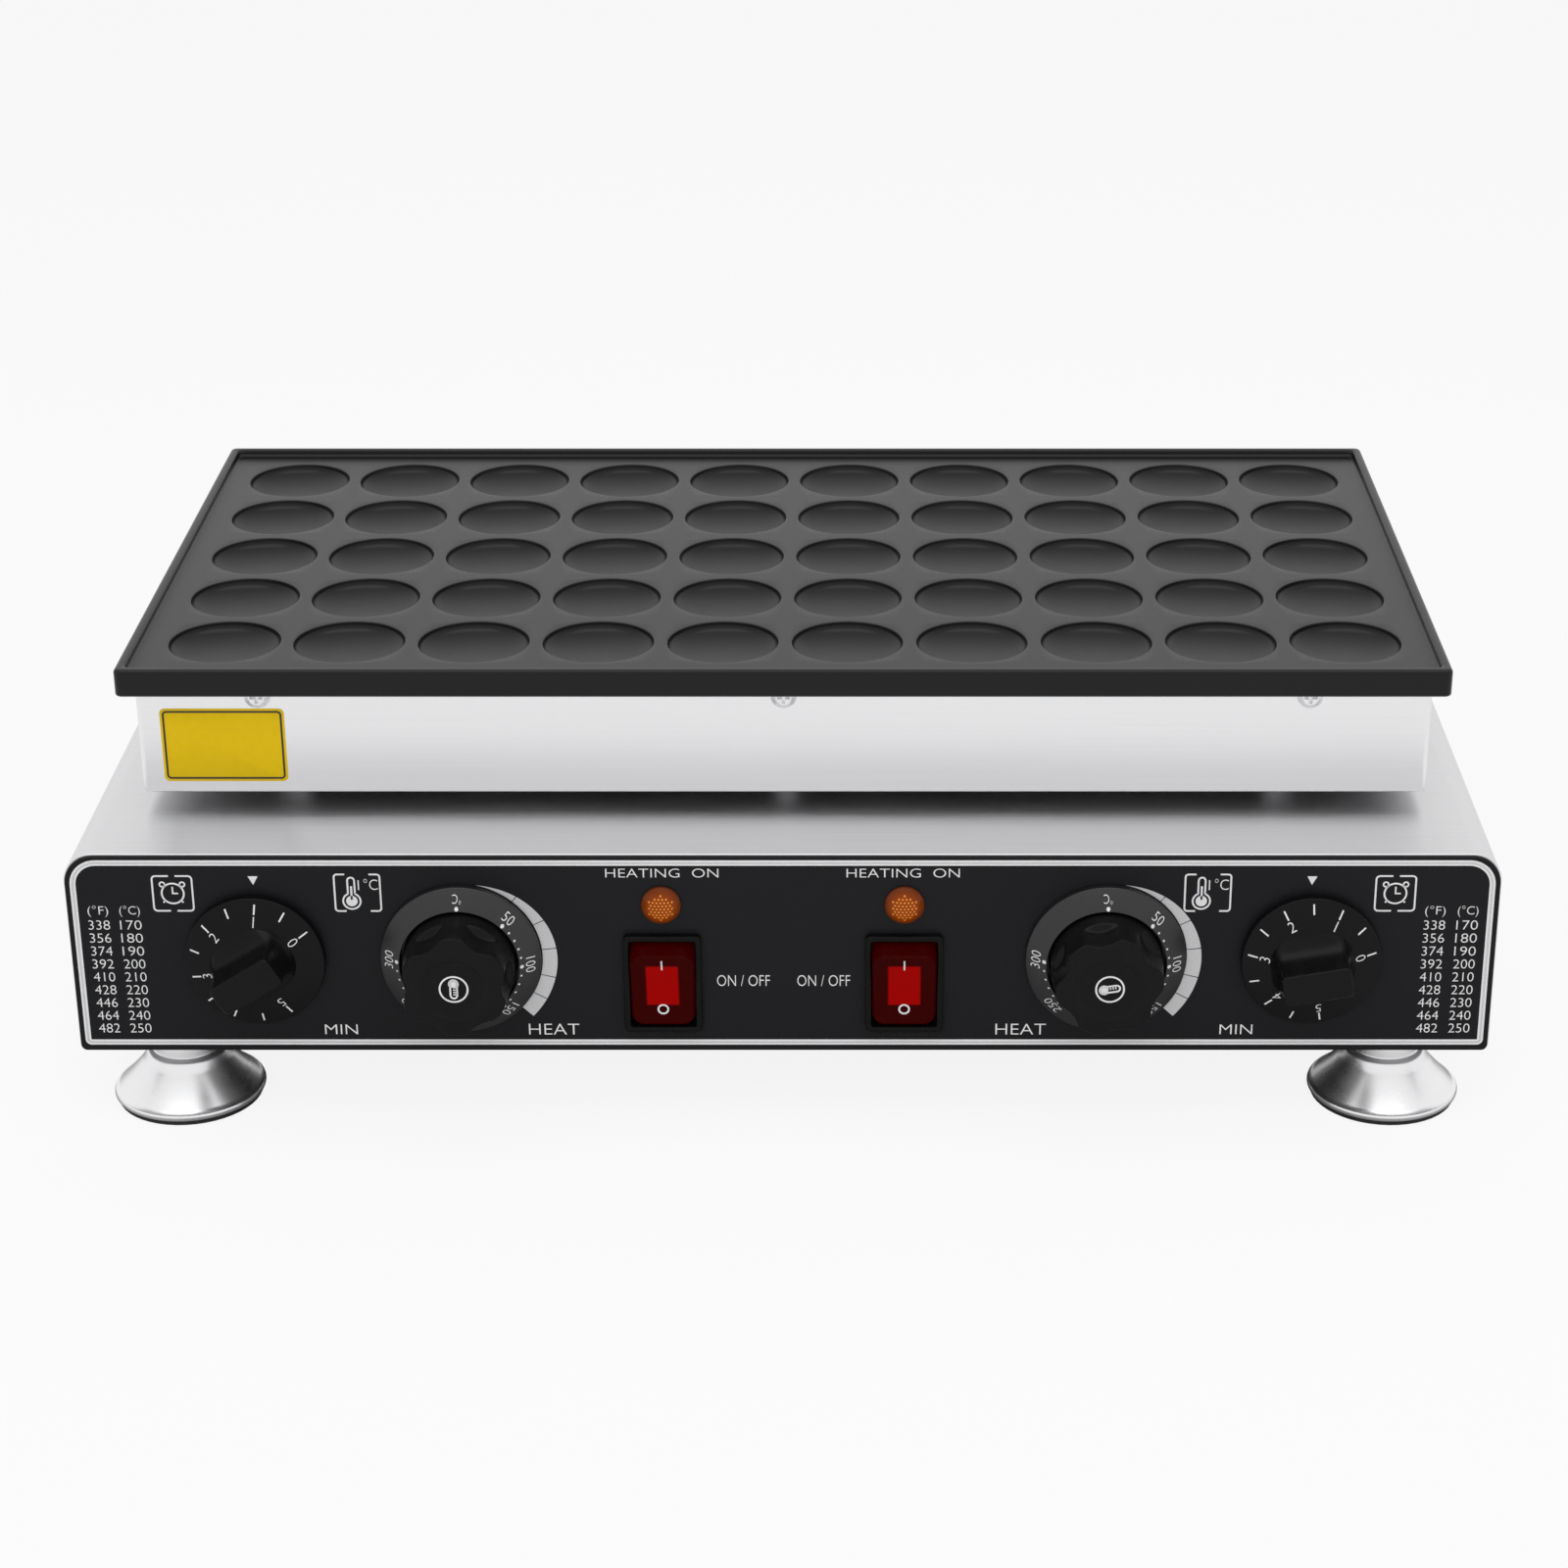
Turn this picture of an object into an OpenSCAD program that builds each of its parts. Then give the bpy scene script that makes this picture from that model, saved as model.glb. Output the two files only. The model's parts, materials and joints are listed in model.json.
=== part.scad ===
// Electric grill for small round pancakes: a non-stick plate of shallow moulds screwed to a
// heater box, carried on spacers above a flat sheet-steel base with two sets of controls.
// Millimetres. +X is to the right, +Y to the back, +Z up. The origin lies on the table under
// the middle of the whole machine, knobs and cable gland included.

/* [Baking plate] */
// Moulds in a row, from left to right
mould_columns = 10; // [9:1:12]
// Rows of moulds, from front to back
mould_rows = 5; // [4:1:6]
// Distance between mould centres
mould_pitch = 50; // [49:0.5:56]
// Diameter of a mould at its wall
mould_d = 44.6; // [36:0.2:46]
// Depth of a mould
mould_depth = 6; // [3:0.5:7]
// Radius between a mould's wall and its floor
mould_fillet = 3.5; // [1:0.5:5]
// Bevel round a mould's upper edge
mould_bevel = 0.7; // [0.3:0.1:1]
// Plate beyond the outer mould centres, left and right
plate_margin_x = 37.5; // [34:0.5:50]
// Plate beyond the outer mould centres, front and back
plate_margin_y = 38.5; // [34:0.5:50]
// Plate thickness under the baking surface, at its edge
plate_t = 8.2; // [7:0.2:14]
// Height of the raised rim above the baking surface
rim_h = 3; // [1:0.5:8]
// Width of the raised rim
rim_w = 4; // [2:0.5:8]
// Radius of the plate's corners
plate_corner_r = 3; // [1:0.5:6]
// Extra thickness of the plate's middle, inside the box
core_t = 4; // [3:0.5:8]
// Gap between that thick middle and the box walls
core_gap = 5; // [3:0.5:10]

/* [Heater box] */
// How far the plate stands out over the box on every side
plate_overhang = 6.5; // [5:0.5:12]
// Height of the box
box_h = 44; // [40:1:70]
// How far the box walls rise inside the plate's skirt
seat_h = 4; // [2:0.5:5]
// Thickness of the sheet steel of box and base
sheet_t = 1.2; // [0.8:0.1:2]
// Outer radius of the box's upright corners
box_corner_r = 2.5; // [2.2:0.1:6]
// Gap between the box and the base
deck_gap = 6; // [4:0.5:15]
// Diameter of the spacers in that gap
spacer_d = 18; // [14:1:26]
// Spacers from the ends of the box
spacer_inset_x = 56; // [40:1:80]
// Spacers from the front and back of the box
spacer_inset_y = 37; // [25:1:60]
// Thickness of the insulation board
board_t = 12; // [6:1:15]
// Lead holes from the middle, left and right
grommet_x = 75; // [70:1:80]
// Inner diameter of the rubber grommets
grommet_bore = 14; // [12:0.5:18]
// Box screws from the middle, left and right
box_screw_x = 207.5; // [150:0.5:215]

/* [Heating elements] */
// Diameter of an element's tube
element_d = 8; // [6:0.5:10]
// Inner ends of the elements from the middle
element_in = 30; // [26:1:36]
// Outer bends of the elements from the ends of the box
element_end_gap = 51; // [45:1:70]
// Thickness of the clamp bars under the elements
clamp_t = 3; // [2:0.5:5]
// Width of the clamp bars
clamp_w = 16; // [12:1:20]
// Length of a temperature sensor's bulb
bulb_len = 90; // [60:1:110]

/* [Base] */
// Base beyond the box, left and right
side_ledge = 24; // [16:1:50]
// Base beyond the box, front and back
front_ledge = 46; // [40:1:80]
// Height of the base
base_h = 86; // [82:1:120]
// Radius of the bends along the top of the base
bend_r = 12; // [4:0.5:16]
// Radius of the bends along the bottom of the base
bottom_bend_r = 3; // [2.5:0.5:5]
// Width of the flanges under the sides and round the back
flange_w = 12; // [11:0.5:16]
// Thickness of the printed control panel
panel_t = 1.2; // [0.8:0.1:3]
// Panel and rear wall inside the outline of the base
panel_inset = 0.6; // [0.2:0.1:1.5]

/* [Feet] */
// Height of the base above the table
foot_h = 32; // [28:0.5:45]
// Diameter of a foot at its rolled rim
foot_d = 60.8; // [54:0.2:66]
// Diameter of a foot's collar
collar_d = 27; // [20:0.5:29]
// Height of a foot's collar
collar_h = 12; // [9:0.5:14]
// Foot centres from the sides of the base
foot_inset_x = 37; // [34:0.5:60]
// Foot centres from the front and back of the base
foot_inset_y = 26; // [24:0.5:60]
// Thickness of the rubber pads
pad_t = 5; // [4:0.2:6]

/* [Timers and thermostats] */
// Height of the dials above the bottom of the base
dial_h = 42; // [38:0.5:44]
// Timer dials from the sides of the base
timer_inset = 73; // [66:0.5:78]
// Distance between a timer and its thermostat
control_pitch = 80.5; // [72:0.5:84]
// Diameter of a timer dial
timer_d = 55; // [48:0.5:60]
// Length of the flared foot of a timer's grip
grip_foot_len = 33; // [31:0.5:38]
// Width of the flared foot of a timer's grip
grip_foot_w = 28; // [15:0.5:30]
// Length of the timer's bar grip over its round ends
grip_len = 27; // [24:0.5:29]
// Width of the timer's bar grip
grip_w = 12.5; // [10:0.5:13.5]
// Timer grip in front of the panel
timer_out = 26.5; // [20:0.5:28]
// Diameter of a thermostat's fixed scale ring
scale_d = 63; // [58:0.5:70]
// Diameter of a thermostat knob
knob_d = 45; // [43:0.5:50]
// Depth of the finger hollows round a thermostat knob
knob_hollow = 3; // [1.5:0.1:3.2]
// Thermostat knob in front of the panel
knob_out = 29; // [24:0.5:34]
// Diameter of the control shafts
shaft_d = 6; // [5:0.5:7]

/* [Switches and lamps] */
// Switches and lamps from the middle
switch_x = 47.5; // [40:0.5:52]
// Height of the switches above the bottom of the base
switch_h = 31; // [27:0.5:34]
// Width of a rocker
rocker_w = 25.2; // [20:0.2:28]
// Height of the opening that a rocker turns in
rocker_opening_h = 37.6; // [30:0.2:38]
// Width of the frame round a rocker
frame_w = 2.4; // [2:0.1:4]
// Frame in front of the panel
frame_out = 3; // [1.5:0.5:5]
// Tilt of a rocker to either side
rocker_tilt = 10; // [6:1:12]
// Height of the lamps above the bottom of the base
lamp_h = 65; // [64:0.5:72]
// Diameter of a lamp lens
lamp_d = 15.4; // [14:0.2:18]
// Lamp lens in front of the panel
lamp_out = 5; // [3:0.5:8]

/* [Cable gland] */
// Bore for the mains cable
gland_bore = 9; // [6:0.5:11]
// Diameter of the gland's threaded neck
gland_neck_d = 16; // [15:0.5:20]
// Gland behind the rear wall
gland_out = 25; // [20:0.5:35]
// Gland from the left side of the base
gland_inset = 80; // [60:1:120]
// Height of the gland above the bottom of the base
gland_h = 30; // [24:1:40]

/* [Hidden] */
$fn = 64;
cut = 1;
sheet_gap = 0.2;
thread_gap = 0.05;
shaft_gap = 0.05;
rest_gap = 0.15;

plate_w = (mould_columns - 1) * mould_pitch + 2 * plate_margin_x;
plate_d = (mould_rows - 1) * mould_pitch + 2 * plate_margin_y;
box_w = plate_w - 2 * plate_overhang;
box_d = plate_d - 2 * plate_overhang;
base_w = box_w + 2 * side_ledge;
base_d = box_d + 2 * front_ledge;

// Levels, from the table up
base_z = foot_h;
floor_z = base_z + sheet_t;
base_top = base_z + base_h;
box_z = base_top + deck_gap;
slab_z = box_z + box_h;
surface_z = slab_z + plate_t;
core_z = slab_z - core_t;
element_z = core_z - rest_gap - element_d / 2;
clamp_z = element_z - element_d / 2 - rest_gap;

// Places from front to back
front_y = (knob_out - gland_out - base_d) / 2;
rear_y = front_y + base_d;
mid_y = front_y + base_d / 2;
wall_y = front_y + panel_t;
inside_y = wall_y + sheet_t;

// Controls
dial_z = base_z + dial_h;
timer_x = base_w / 2 - timer_inset;
thermostat_x = timer_x - control_pitch;
switch_z = base_z + switch_h;
lamp_z = base_z + lamp_h;
// Turns at rest, clockwise from the dial's zero as seen from the front: left, then right
timer_rest = [58, 80];
thermostat_rest = [180, 81];

// Screws: shank, head diameter and head height
m3 = [3.5, 6, 1.8];
m4 = [4, 7.6, 2.6];
m5 = [5, 10.2, 3.2];
m6 = [6, 11, 4];
m8 = [8, 13, 5];
nut_h = 5;
screw_clearance = 0.3;

// Deck: screws and spacers between box and base
deck_points = [for (sx = [-1, 0, 1], sy = [-1, 1])
    [sx * (box_w / 2 - spacer_inset_x), mid_y + sy * (box_d / 2 - spacer_inset_y)]];
grommet_wall = 3;
grommet_collar = 4;
grommet_tube_d = grommet_bore + 2 * grommet_wall;
grommet_points = [for (sx = [-1, 1]) [sx * grommet_x, mid_y]];

// Box screws enter lugs under the plate, their heads half inside the plate's skirt
lug_w = 20;
lug_d = 12;
lug_h = 12;
lug_gap = 0.3;
head_gap = 0.5;
head_room = 0.8;
skirt_t = plate_overhang - m5[2] - head_room;
box_screw_z = slab_z + seat_h - m5[1] / 2 - head_gap;
box_screw_len = 11;

// Elements: four runs, two close bends outside and one wide bend inside
run_in = mould_pitch * (mould_rows - 1) / 4;
run_out = mould_pitch * (mould_rows - 1) / 2;
element_out = box_w / 2 - element_end_gap;
inner_bend_x = element_in + 30;
terminal_len = 14;
terminal_d = 4;
bead_d = 10;
bead_len = 8;
clamp_from_in = 72;
clamp_from_out = 12;
clamp_over = 15;
clamp_x = [element_in + clamp_from_in, element_out - clamp_from_out];
clamp_len = 2 * (run_out + clamp_over);
clamp_screw_y = (run_in + run_out) / 2;
clamp_hole_depth = core_t + plate_t - mould_depth - 1.5;
bulb_in = clamp_x[0] - clamp_w;
capillary_d = 2;

// Control bodies behind the front wall
neck_d = 10;
neck_gap = 0.3;
timer_body = [44, 44, 40];
thermostat_body = [36, 36, 38];
timer_screw_x = 15;
thermostat_screw_x = 14;
control_screw_len = 9;
shaft_in = 18;
shaft_flat = shaft_d / 3;
shaft_hold = 4;

// Dial and knob sections, measured out from the panel
dial_gap = 1;
dial_edge = 4.5;
dial_face = 8.5;
// Flare of the grip: height over the dial's face and share of the foot's extra width
grip_flare = [[0, 1], [2, 0.5], [5.5, 0.2], [10, 0.05]];
dial_cavity = 4.4;
dial_cavity_d = 44;
hub_core_d = 13;
web_t = 1.2;
knob_gap = web_t + 0.8;
knob_cavity = 6;
knob_cavity_d = 35;
knob_lobes = 6;
hollow_r = 14;
knob_flange = 4;
lobe_inset = 0.3;
lobe_taper = 1.2;
knob_dome = 2.3;
knob_flat_r = 14;
ring_bore_d = knob_d + 1.6;
ring_inner = 8;
ring_edge = 3;

// Switches
rocker_gap = 0.3;
pivot_in = 4;
pivot_d = 3;
pivot_len = 1;
housing_wall = 1.3;
housing_in = 26;
housing_back = 2;
rocker_face = frame_out + 2.2;
rocker_back = 5;
rocker_corner_r = 5;
rocker_dish_r = 80;
opening_w = rocker_w + 2 * rocker_gap;
frame_corner_r = 2;
spade = [6.3, 0.8, 9];

// Lamps
lamp_stem_d = 12;
lamp_stem_len = 9;
lamp_body_d = 16;
lamp_body_len = 26;
lamp_flange = 1.5;

// Gland and rear wall
gland_x = -base_w / 2 + gland_inset;
gland_z = base_z + gland_h;
gland_hex = gland_neck_d + 8;
gland_hex_h = 8;
gland_neck_in = 12;
gland_nut_h = 5;
rear_screw_in = 6.5;
floor_screw_in = 8;
floor_screw_end = 70;

// Terminal block on the floor
block = [64, 22, 20];
block_in_y = 70;
block_x = 0;
block_y = rear_y - block_in_y;
block_z = floor_z + sheet_t;
block_screw_x = 26;
wire_d = 2.6;

// Routes of leads and sensor tubes
loft_drop = 14;
sensor_drop = 22;
sensor_loop = 25;
lead_loop = 14;
lead_side = 12;
lead_step = 10;
switch_loop = 24;
switch_reach = 70;
lamp_loop = 16;
spade_z = 9;
block_pitch = 12;

// Shared shapes

// A flat shape in X and Z, made solid from y to y + length
module along_y(y, length) {
    translate([0, y + length, 0]) rotate([90, 0, 0]) linear_extrude(length) children();
}

// Children drawn with +Z out of the panel and +Y up, set at x and z on the panel's face
module on_panel(x, z) {
    translate([x, front_y, z]) rotate([90, 0, 0]) children();
}

// Children drawn with +Z out of the rear wall, set at x and z on its face
module on_rear(x, z) {
    translate([x, rear_y, z]) rotate([-90, 0, 0]) children();
}

// Rectangle about the middle with four equal round corners
module rounded_rect(w, h, r) {
    square([w - 2 * r, h], center = true);
    square([w, h - 2 * r], center = true);
    for (sx = [-1, 1], sy = [-1, 1])
        translate([sx * (w / 2 - r), sy * (h / 2 - r)]) circle(r);
}

// Cross-section of the base, drawn inside its outline by inset
module base_section(inset) {
    w = base_w - 2 * inset;
    h = base_h - 2 * inset;
    rt = bend_r - inset;
    rb = bottom_bend_r - inset;
    translate([0, base_z + inset]) {
        translate([-w / 2, rb]) square([w, h - rt - rb]);
        translate([rt - w / 2, rb]) square([w - 2 * rt, h - rb]);
        translate([rb - w / 2, 0]) square([w - 2 * rb, h - rt]);
        for (s = [-1, 1]) {
            translate([s * (w / 2 - rt), h - rt]) circle(rt);
            translate([s * (w / 2 - rb), rb]) circle(rb);
        }
    }
}

// Slot with round ends, standing upright about its middle
module slot(w, h) {
    square([w, h - w], center = true);
    for (s = [-1, 1]) translate([0, s * (h - w) / 2]) circle(d = w);
}

// Screw with its head above z = 0 and its shank below; the head has a cross recess
module pan_screw(size, length) {
    r = size[1] / 2;
    h = size[2];
    difference() {
        rotate_extrude()
            polygon([[0, -length], [size[0] / 2, -length], [size[0] / 2, 0], [r, 0],
                [r, 0.45 * h], [0.62 * r, h], [0, h]]);
        for (a = [0, 90])
            rotate(a) translate([-0.5 * r, -0.13 * r, 0.5 * h]) cube([r, 0.26 * r, h]);
    }
}

// Hexagonal nut on z = 0, size by its thread
module hex_nut(d, h) {
    difference() {
        cylinder(d = 1.9 * d, h = h, $fn = 6);
        translate([0, 0, -cut]) cylinder(r = d / 2 + thread_gap, h = h + 2 * cut);
    }
}

// Straight round rod from one point to another
module rod(from, to, d) {
    v = to - from;
    len = norm(v);
    translate(from) rotate([0, acos(v[2] / len), atan2(v[1], v[0])]) cylinder(d = d, h = len);
}

// Bent lead through a list of points, with a round knuckle at every corner
module lead(points, d) {
    for (i = [0 : len(points) - 2]) rod(points[i], points[i + 1], d);
    for (i = [1 : len(points) - 2]) translate(points[i]) sphere(d = 1.06 * d);
}

// Section of a round shaft with one flat, the flat facing +Y
module d_section(gap) {
    intersection() {
        circle(d = shaft_d + 2 * gap);
        translate([-shaft_d, -shaft_d]) square([2 * shaft_d, shaft_d + shaft_flat + gap]);
    }
}

// Base

// Openings for everything that passes through panel and front wall
module control_cutouts() {
    for (s = [-1, 1]) {
        translate([s * timer_x, dial_z]) {
            circle(d = neck_d + 2 * neck_gap);
            for (t = [-1, 1])
                translate([t * timer_screw_x, 0]) circle(d = m4[0] + 2 * screw_clearance);
        }
        translate([s * thermostat_x, dial_z]) {
            circle(d = neck_d + 2 * neck_gap);
            for (t = [-1, 1])
                translate([t * thermostat_screw_x, 0]) circle(d = m3[0] + 2 * screw_clearance);
        }
        translate([s * switch_x, switch_z])
            square([opening_w + 2 * housing_wall + 2 * sheet_gap,
                rocker_opening_h + 2 * housing_wall + 2 * sheet_gap], center = true);
        translate([s * switch_x, lamp_z]) circle(d = lamp_stem_d + 2 * neck_gap);
    }
}

floor_screw_points = [for (sx = [-1, 1], sy = [-1, 0, 1])
    [sx * (base_w / 2 - floor_screw_in), mid_y + sy * (base_d / 2 - floor_screw_end)]];
rear_screw_points = concat(
    [for (sx = [-1, 1], z = [base_z + 0.3 * base_h, base_z + 0.7 * base_h])
        [sx * (base_w / 2 - rear_screw_in), z]],
    [for (sx = [-1, 1], z = [base_z + rear_screw_in, base_top - rear_screw_in])
        [sx * base_w / 4, z]]);
foot_points = [for (sy = [-1, 1], sx = [-1, 1])
    [sx * (base_w / 2 - foot_inset_x), mid_y + sy * (base_d / 2 - foot_inset_y)]];

module base_shell() color("silver") difference() {
    union() {
        along_y(wall_y, base_d - panel_t - sheet_t) difference() {
            base_section(0);
            base_section(sheet_t);
            translate([flange_w - base_w / 2, base_z - cut])
                square([base_w - 2 * flange_w, sheet_t + 2 * cut]);
        }
        along_y(rear_y - 2 * sheet_t, sheet_t) difference() {
            base_section(0);
            translate([flange_w - base_w / 2, base_z + flange_w])
                square([base_w - 2 * flange_w, base_h - 2 * flange_w]);
        }
    }
    for (p = deck_points)
        translate([p[0], p[1], base_top - 2 * sheet_t])
            cylinder(d = m6[0] + 2 * screw_clearance, h = 4 * sheet_t);
    for (p = grommet_points)
        translate([p[0], p[1], base_top - 2 * sheet_t])
            cylinder(d = grommet_tube_d + 2 * sheet_gap, h = 4 * sheet_t);
    for (p = floor_screw_points)
        translate([p[0], p[1], base_z - cut])
            cylinder(d = m4[0] + 2 * screw_clearance, h = sheet_t + 2 * cut);
    for (p = rear_screw_points)
        on_rear(p[0], p[1]) translate([0, 0, -2 * sheet_t - cut])
            cylinder(d = m4[0] + 2 * thread_gap, h = sheet_t + 2 * cut);
}

module front_wall() color("silver") along_y(wall_y, sheet_t) difference() {
    base_section(sheet_t + sheet_gap);
    control_cutouts();
}

module control_panel() color([0.11, 0.11, 0.115]) along_y(front_y, panel_t) difference() {
    base_section(panel_inset);
    control_cutouts();
}

module base_floor() {
    half_w = base_w / 2 - bottom_bend_r - sheet_gap;
    y0 = inside_y + sheet_gap;
    y1 = rear_y - 2 * sheet_t - sheet_gap;
    vent_pitch = 12;
    vent_from = 60;
    vent_ahead = 20;
    vent_slot = [5, 60];
    color("silver") translate([0, 0, floor_z]) linear_extrude(sheet_t) difference() {
        translate([-half_w, y0]) square([2 * half_w, y1 - y0]);
        for (p = foot_points) translate(p) circle(d = m8[0] + 2 * screw_clearance);
        for (p = floor_screw_points) translate(p) circle(d = m4[0] + 2 * thread_gap);
        for (t = [-1, 1])
            translate([block_x + t * block_screw_x, block_y]) circle(d = m4[0] + 2 * thread_gap);
        for (sx = [-1, 1], i = [0 : 7])
            translate([sx * (vent_from + i * vent_pitch), mid_y - vent_ahead])
                slot(vent_slot[0], vent_slot[1]);
    }
}

module rear_wall() {
    vent_pitch = 10;
    vent_from = 40;
    vent_slot = [4, 34];
    color("silver") along_y(rear_y - sheet_t, sheet_t) difference() {
        base_section(panel_inset);
        translate([gland_x, gland_z]) circle(d = gland_neck_d + 2 * neck_gap);
        for (p = rear_screw_points) translate(p) circle(d = m4[0] + 2 * screw_clearance);
        for (i = [0 : 13])
            translate([vent_from + i * vent_pitch, base_z + base_h / 2])
                slot(vent_slot[0], vent_slot[1]);
    }
}

module case_screws() color("gainsboro") {
    for (p = rear_screw_points) on_rear(p[0], p[1]) pan_screw(m4, 6);
    for (p = floor_screw_points)
        translate([p[0], p[1], base_z]) rotate([180, 0, 0]) pan_screw(m4, 4);
}

// Feet

foot_rim_r = 1.8;
pad_below = 1.6;
cone_top_r = collar_d / 2 + 3;
cone_low_r = foot_d / 2 - foot_rim_r;
collar_z = floor_z - collar_h;
shoulder_z = collar_z - 2.2;
rim_centre_z = pad_below + foot_rim_r;
pad_room_r = cone_low_r - 1.4;
pad_gap = 0.3;
pad_r = cone_low_r - foot_rim_r - pad_gap;
bolt_seat_z = shoulder_z - 2.4;

module foot_at(p) {
    bore_r = m8[0] / 2 + screw_clearance;
    cone_wall = 2.4;
    color("lightgray") translate([p[0], p[1], 0]) rotate_extrude() {
        polygon([[bore_r, bolt_seat_z], [cone_top_r - cone_wall, bolt_seat_z],
            [pad_room_r - 2, pad_t], [pad_room_r, pad_t], [pad_room_r, pad_below + 0.4],
            [cone_low_r, pad_below + 0.4], [cone_low_r + 0.9, rim_centre_z + 1.2],
            [cone_top_r, shoulder_z], [cone_top_r - 1, collar_z - 0.5],
            [collar_d / 2, collar_z], [collar_d / 2, floor_z], [bore_r, floor_z]]);
        translate([cone_low_r, rim_centre_z]) circle(foot_rim_r);
    }
}

module foot_front_left() foot_at(foot_points[0]);
module foot_front_right() foot_at(foot_points[1]);
module foot_rear_left() foot_at(foot_points[2]);
module foot_rear_right() foot_at(foot_points[3]);

// Rubber pads, each with a flange that shows as a dark line under the foot's rim
module foot_pads() {
    flange_r = cone_low_r + 0.4;
    flange_z = pad_below - pad_gap;
    color([0.08, 0.08, 0.08]) for (p = foot_points)
        translate([p[0], p[1], 0]) rotate_extrude()
            polygon([[0, 0], [flange_r, 0], [flange_r, flange_z], [pad_r, flange_z],
                [pad_r, pad_t], [0, pad_t]]);
}

module foot_bolts() color("gray") for (p = foot_points)
    translate([p[0], p[1], bolt_seat_z]) {
        translate([0, 0, -m8[2]]) cylinder(d = 1.15 * m8[1], h = m8[2], $fn = 6);
        cylinder(d = m8[0], h = floor_z + sheet_t + 1.6 * nut_h - bolt_seat_z);
    }

module foot_nuts() color("gray") for (p = foot_points)
    translate([p[0], p[1], floor_z + sheet_t]) hex_nut(m8[0], nut_h);

// Deck between base and box

module deck_spacers() color("gray") for (p = deck_points)
    translate([p[0], p[1], base_top]) difference() {
        cylinder(d = spacer_d, h = deck_gap);
        translate([0, 0, -cut]) cylinder(d = m6[0] + 2 * screw_clearance, h = deck_gap + 2 * cut);
    }

deck_screw_len = deck_gap + 2 * sheet_t + 1.4 * nut_h;

module deck_screws() color("gainsboro") for (p = deck_points)
    translate([p[0], p[1], box_z + sheet_t]) pan_screw(m6, deck_screw_len);

module deck_nuts() color("gray") for (p = deck_points)
    translate([p[0], p[1], base_top - sheet_t - nut_h]) hex_nut(m6[0], nut_h);

module wire_grommets() color([0.1, 0.1, 0.1]) for (p = grommet_points)
    translate([p[0], p[1], base_top]) difference() {
        union() {
            cylinder(d = grommet_tube_d + 2 * grommet_collar, h = deck_gap);
            translate([0, 0, -2 * sheet_t])
                cylinder(d = grommet_tube_d, h = deck_gap + 4 * sheet_t);
        }
        translate([0, 0, -2 * sheet_t - cut])
            cylinder(d = grommet_bore, h = deck_gap + 4 * sheet_t + 2 * cut);
    }

// Heater box and baking plate

module heater_box() color("silver") difference() {
    translate([0, mid_y, box_z]) linear_extrude(box_h + seat_h)
        rounded_rect(box_w, box_d, box_corner_r);
    translate([0, mid_y, box_z + sheet_t]) linear_extrude(box_h + seat_h)
        rounded_rect(box_w - 2 * sheet_t, box_d - 2 * sheet_t, box_corner_r - sheet_t);
    for (p = deck_points)
        translate([p[0], p[1], box_z - cut])
            cylinder(d = m6[0] + 2 * screw_clearance, h = sheet_t + 2 * cut);
    for (p = grommet_points)
        translate([p[0], p[1], box_z - cut])
            cylinder(d = grommet_tube_d + 2 * sheet_gap, h = sheet_t + 2 * cut);
    for (sx = [-1, 0, 1])
        translate([sx * box_screw_x, mid_y, box_screw_z]) rotate([90, 0, 0])
            cylinder(d = m5[0] + 2 * screw_clearance, h = box_d + 2 * cut, center = true);
}

module insulation_board() {
    board_gap = 1;
    hole_room = 4;
    color("beige") translate([0, 0, box_z + sheet_t]) linear_extrude(board_t) difference() {
        translate([0, mid_y])
            square([box_w - 2 * (sheet_t + board_gap), box_d - 2 * (sheet_t + board_gap)],
                center = true);
        for (p = deck_points) translate(p) circle(d = m6[1] + hole_room);
        for (p = grommet_points) translate(p) circle(d = grommet_tube_d + hole_room);
    }
}

// What is cut away for one mould, with the plate's surface at z = 0
module mould_cutter() {
    r = mould_d / 2;
    rotate_extrude() {
        translate([0, -mould_depth]) square([r - mould_fillet, mould_depth + cut]);
        translate([0, mould_fillet - mould_depth]) square([r, mould_depth - mould_fillet + cut]);
        translate([r - mould_fillet, mould_fillet - mould_depth]) circle(mould_fillet);
        polygon([[0, -mould_bevel], [r, -mould_bevel], [r + mould_bevel, 0],
            [r + mould_bevel, cut], [0, cut]]);
    }
}

mould_points = [for (i = [0 : mould_columns - 1], j = [0 : mould_rows - 1])
    [(i - (mould_columns - 1) / 2) * mould_pitch,
     mid_y + (j - (mould_rows - 1) / 2) * mould_pitch]];
clamp_screw_points = [for (s = [-1, 1], x = clamp_x, t = [-1, 1])
    [s * x, mid_y + t * clamp_screw_y]];

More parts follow.
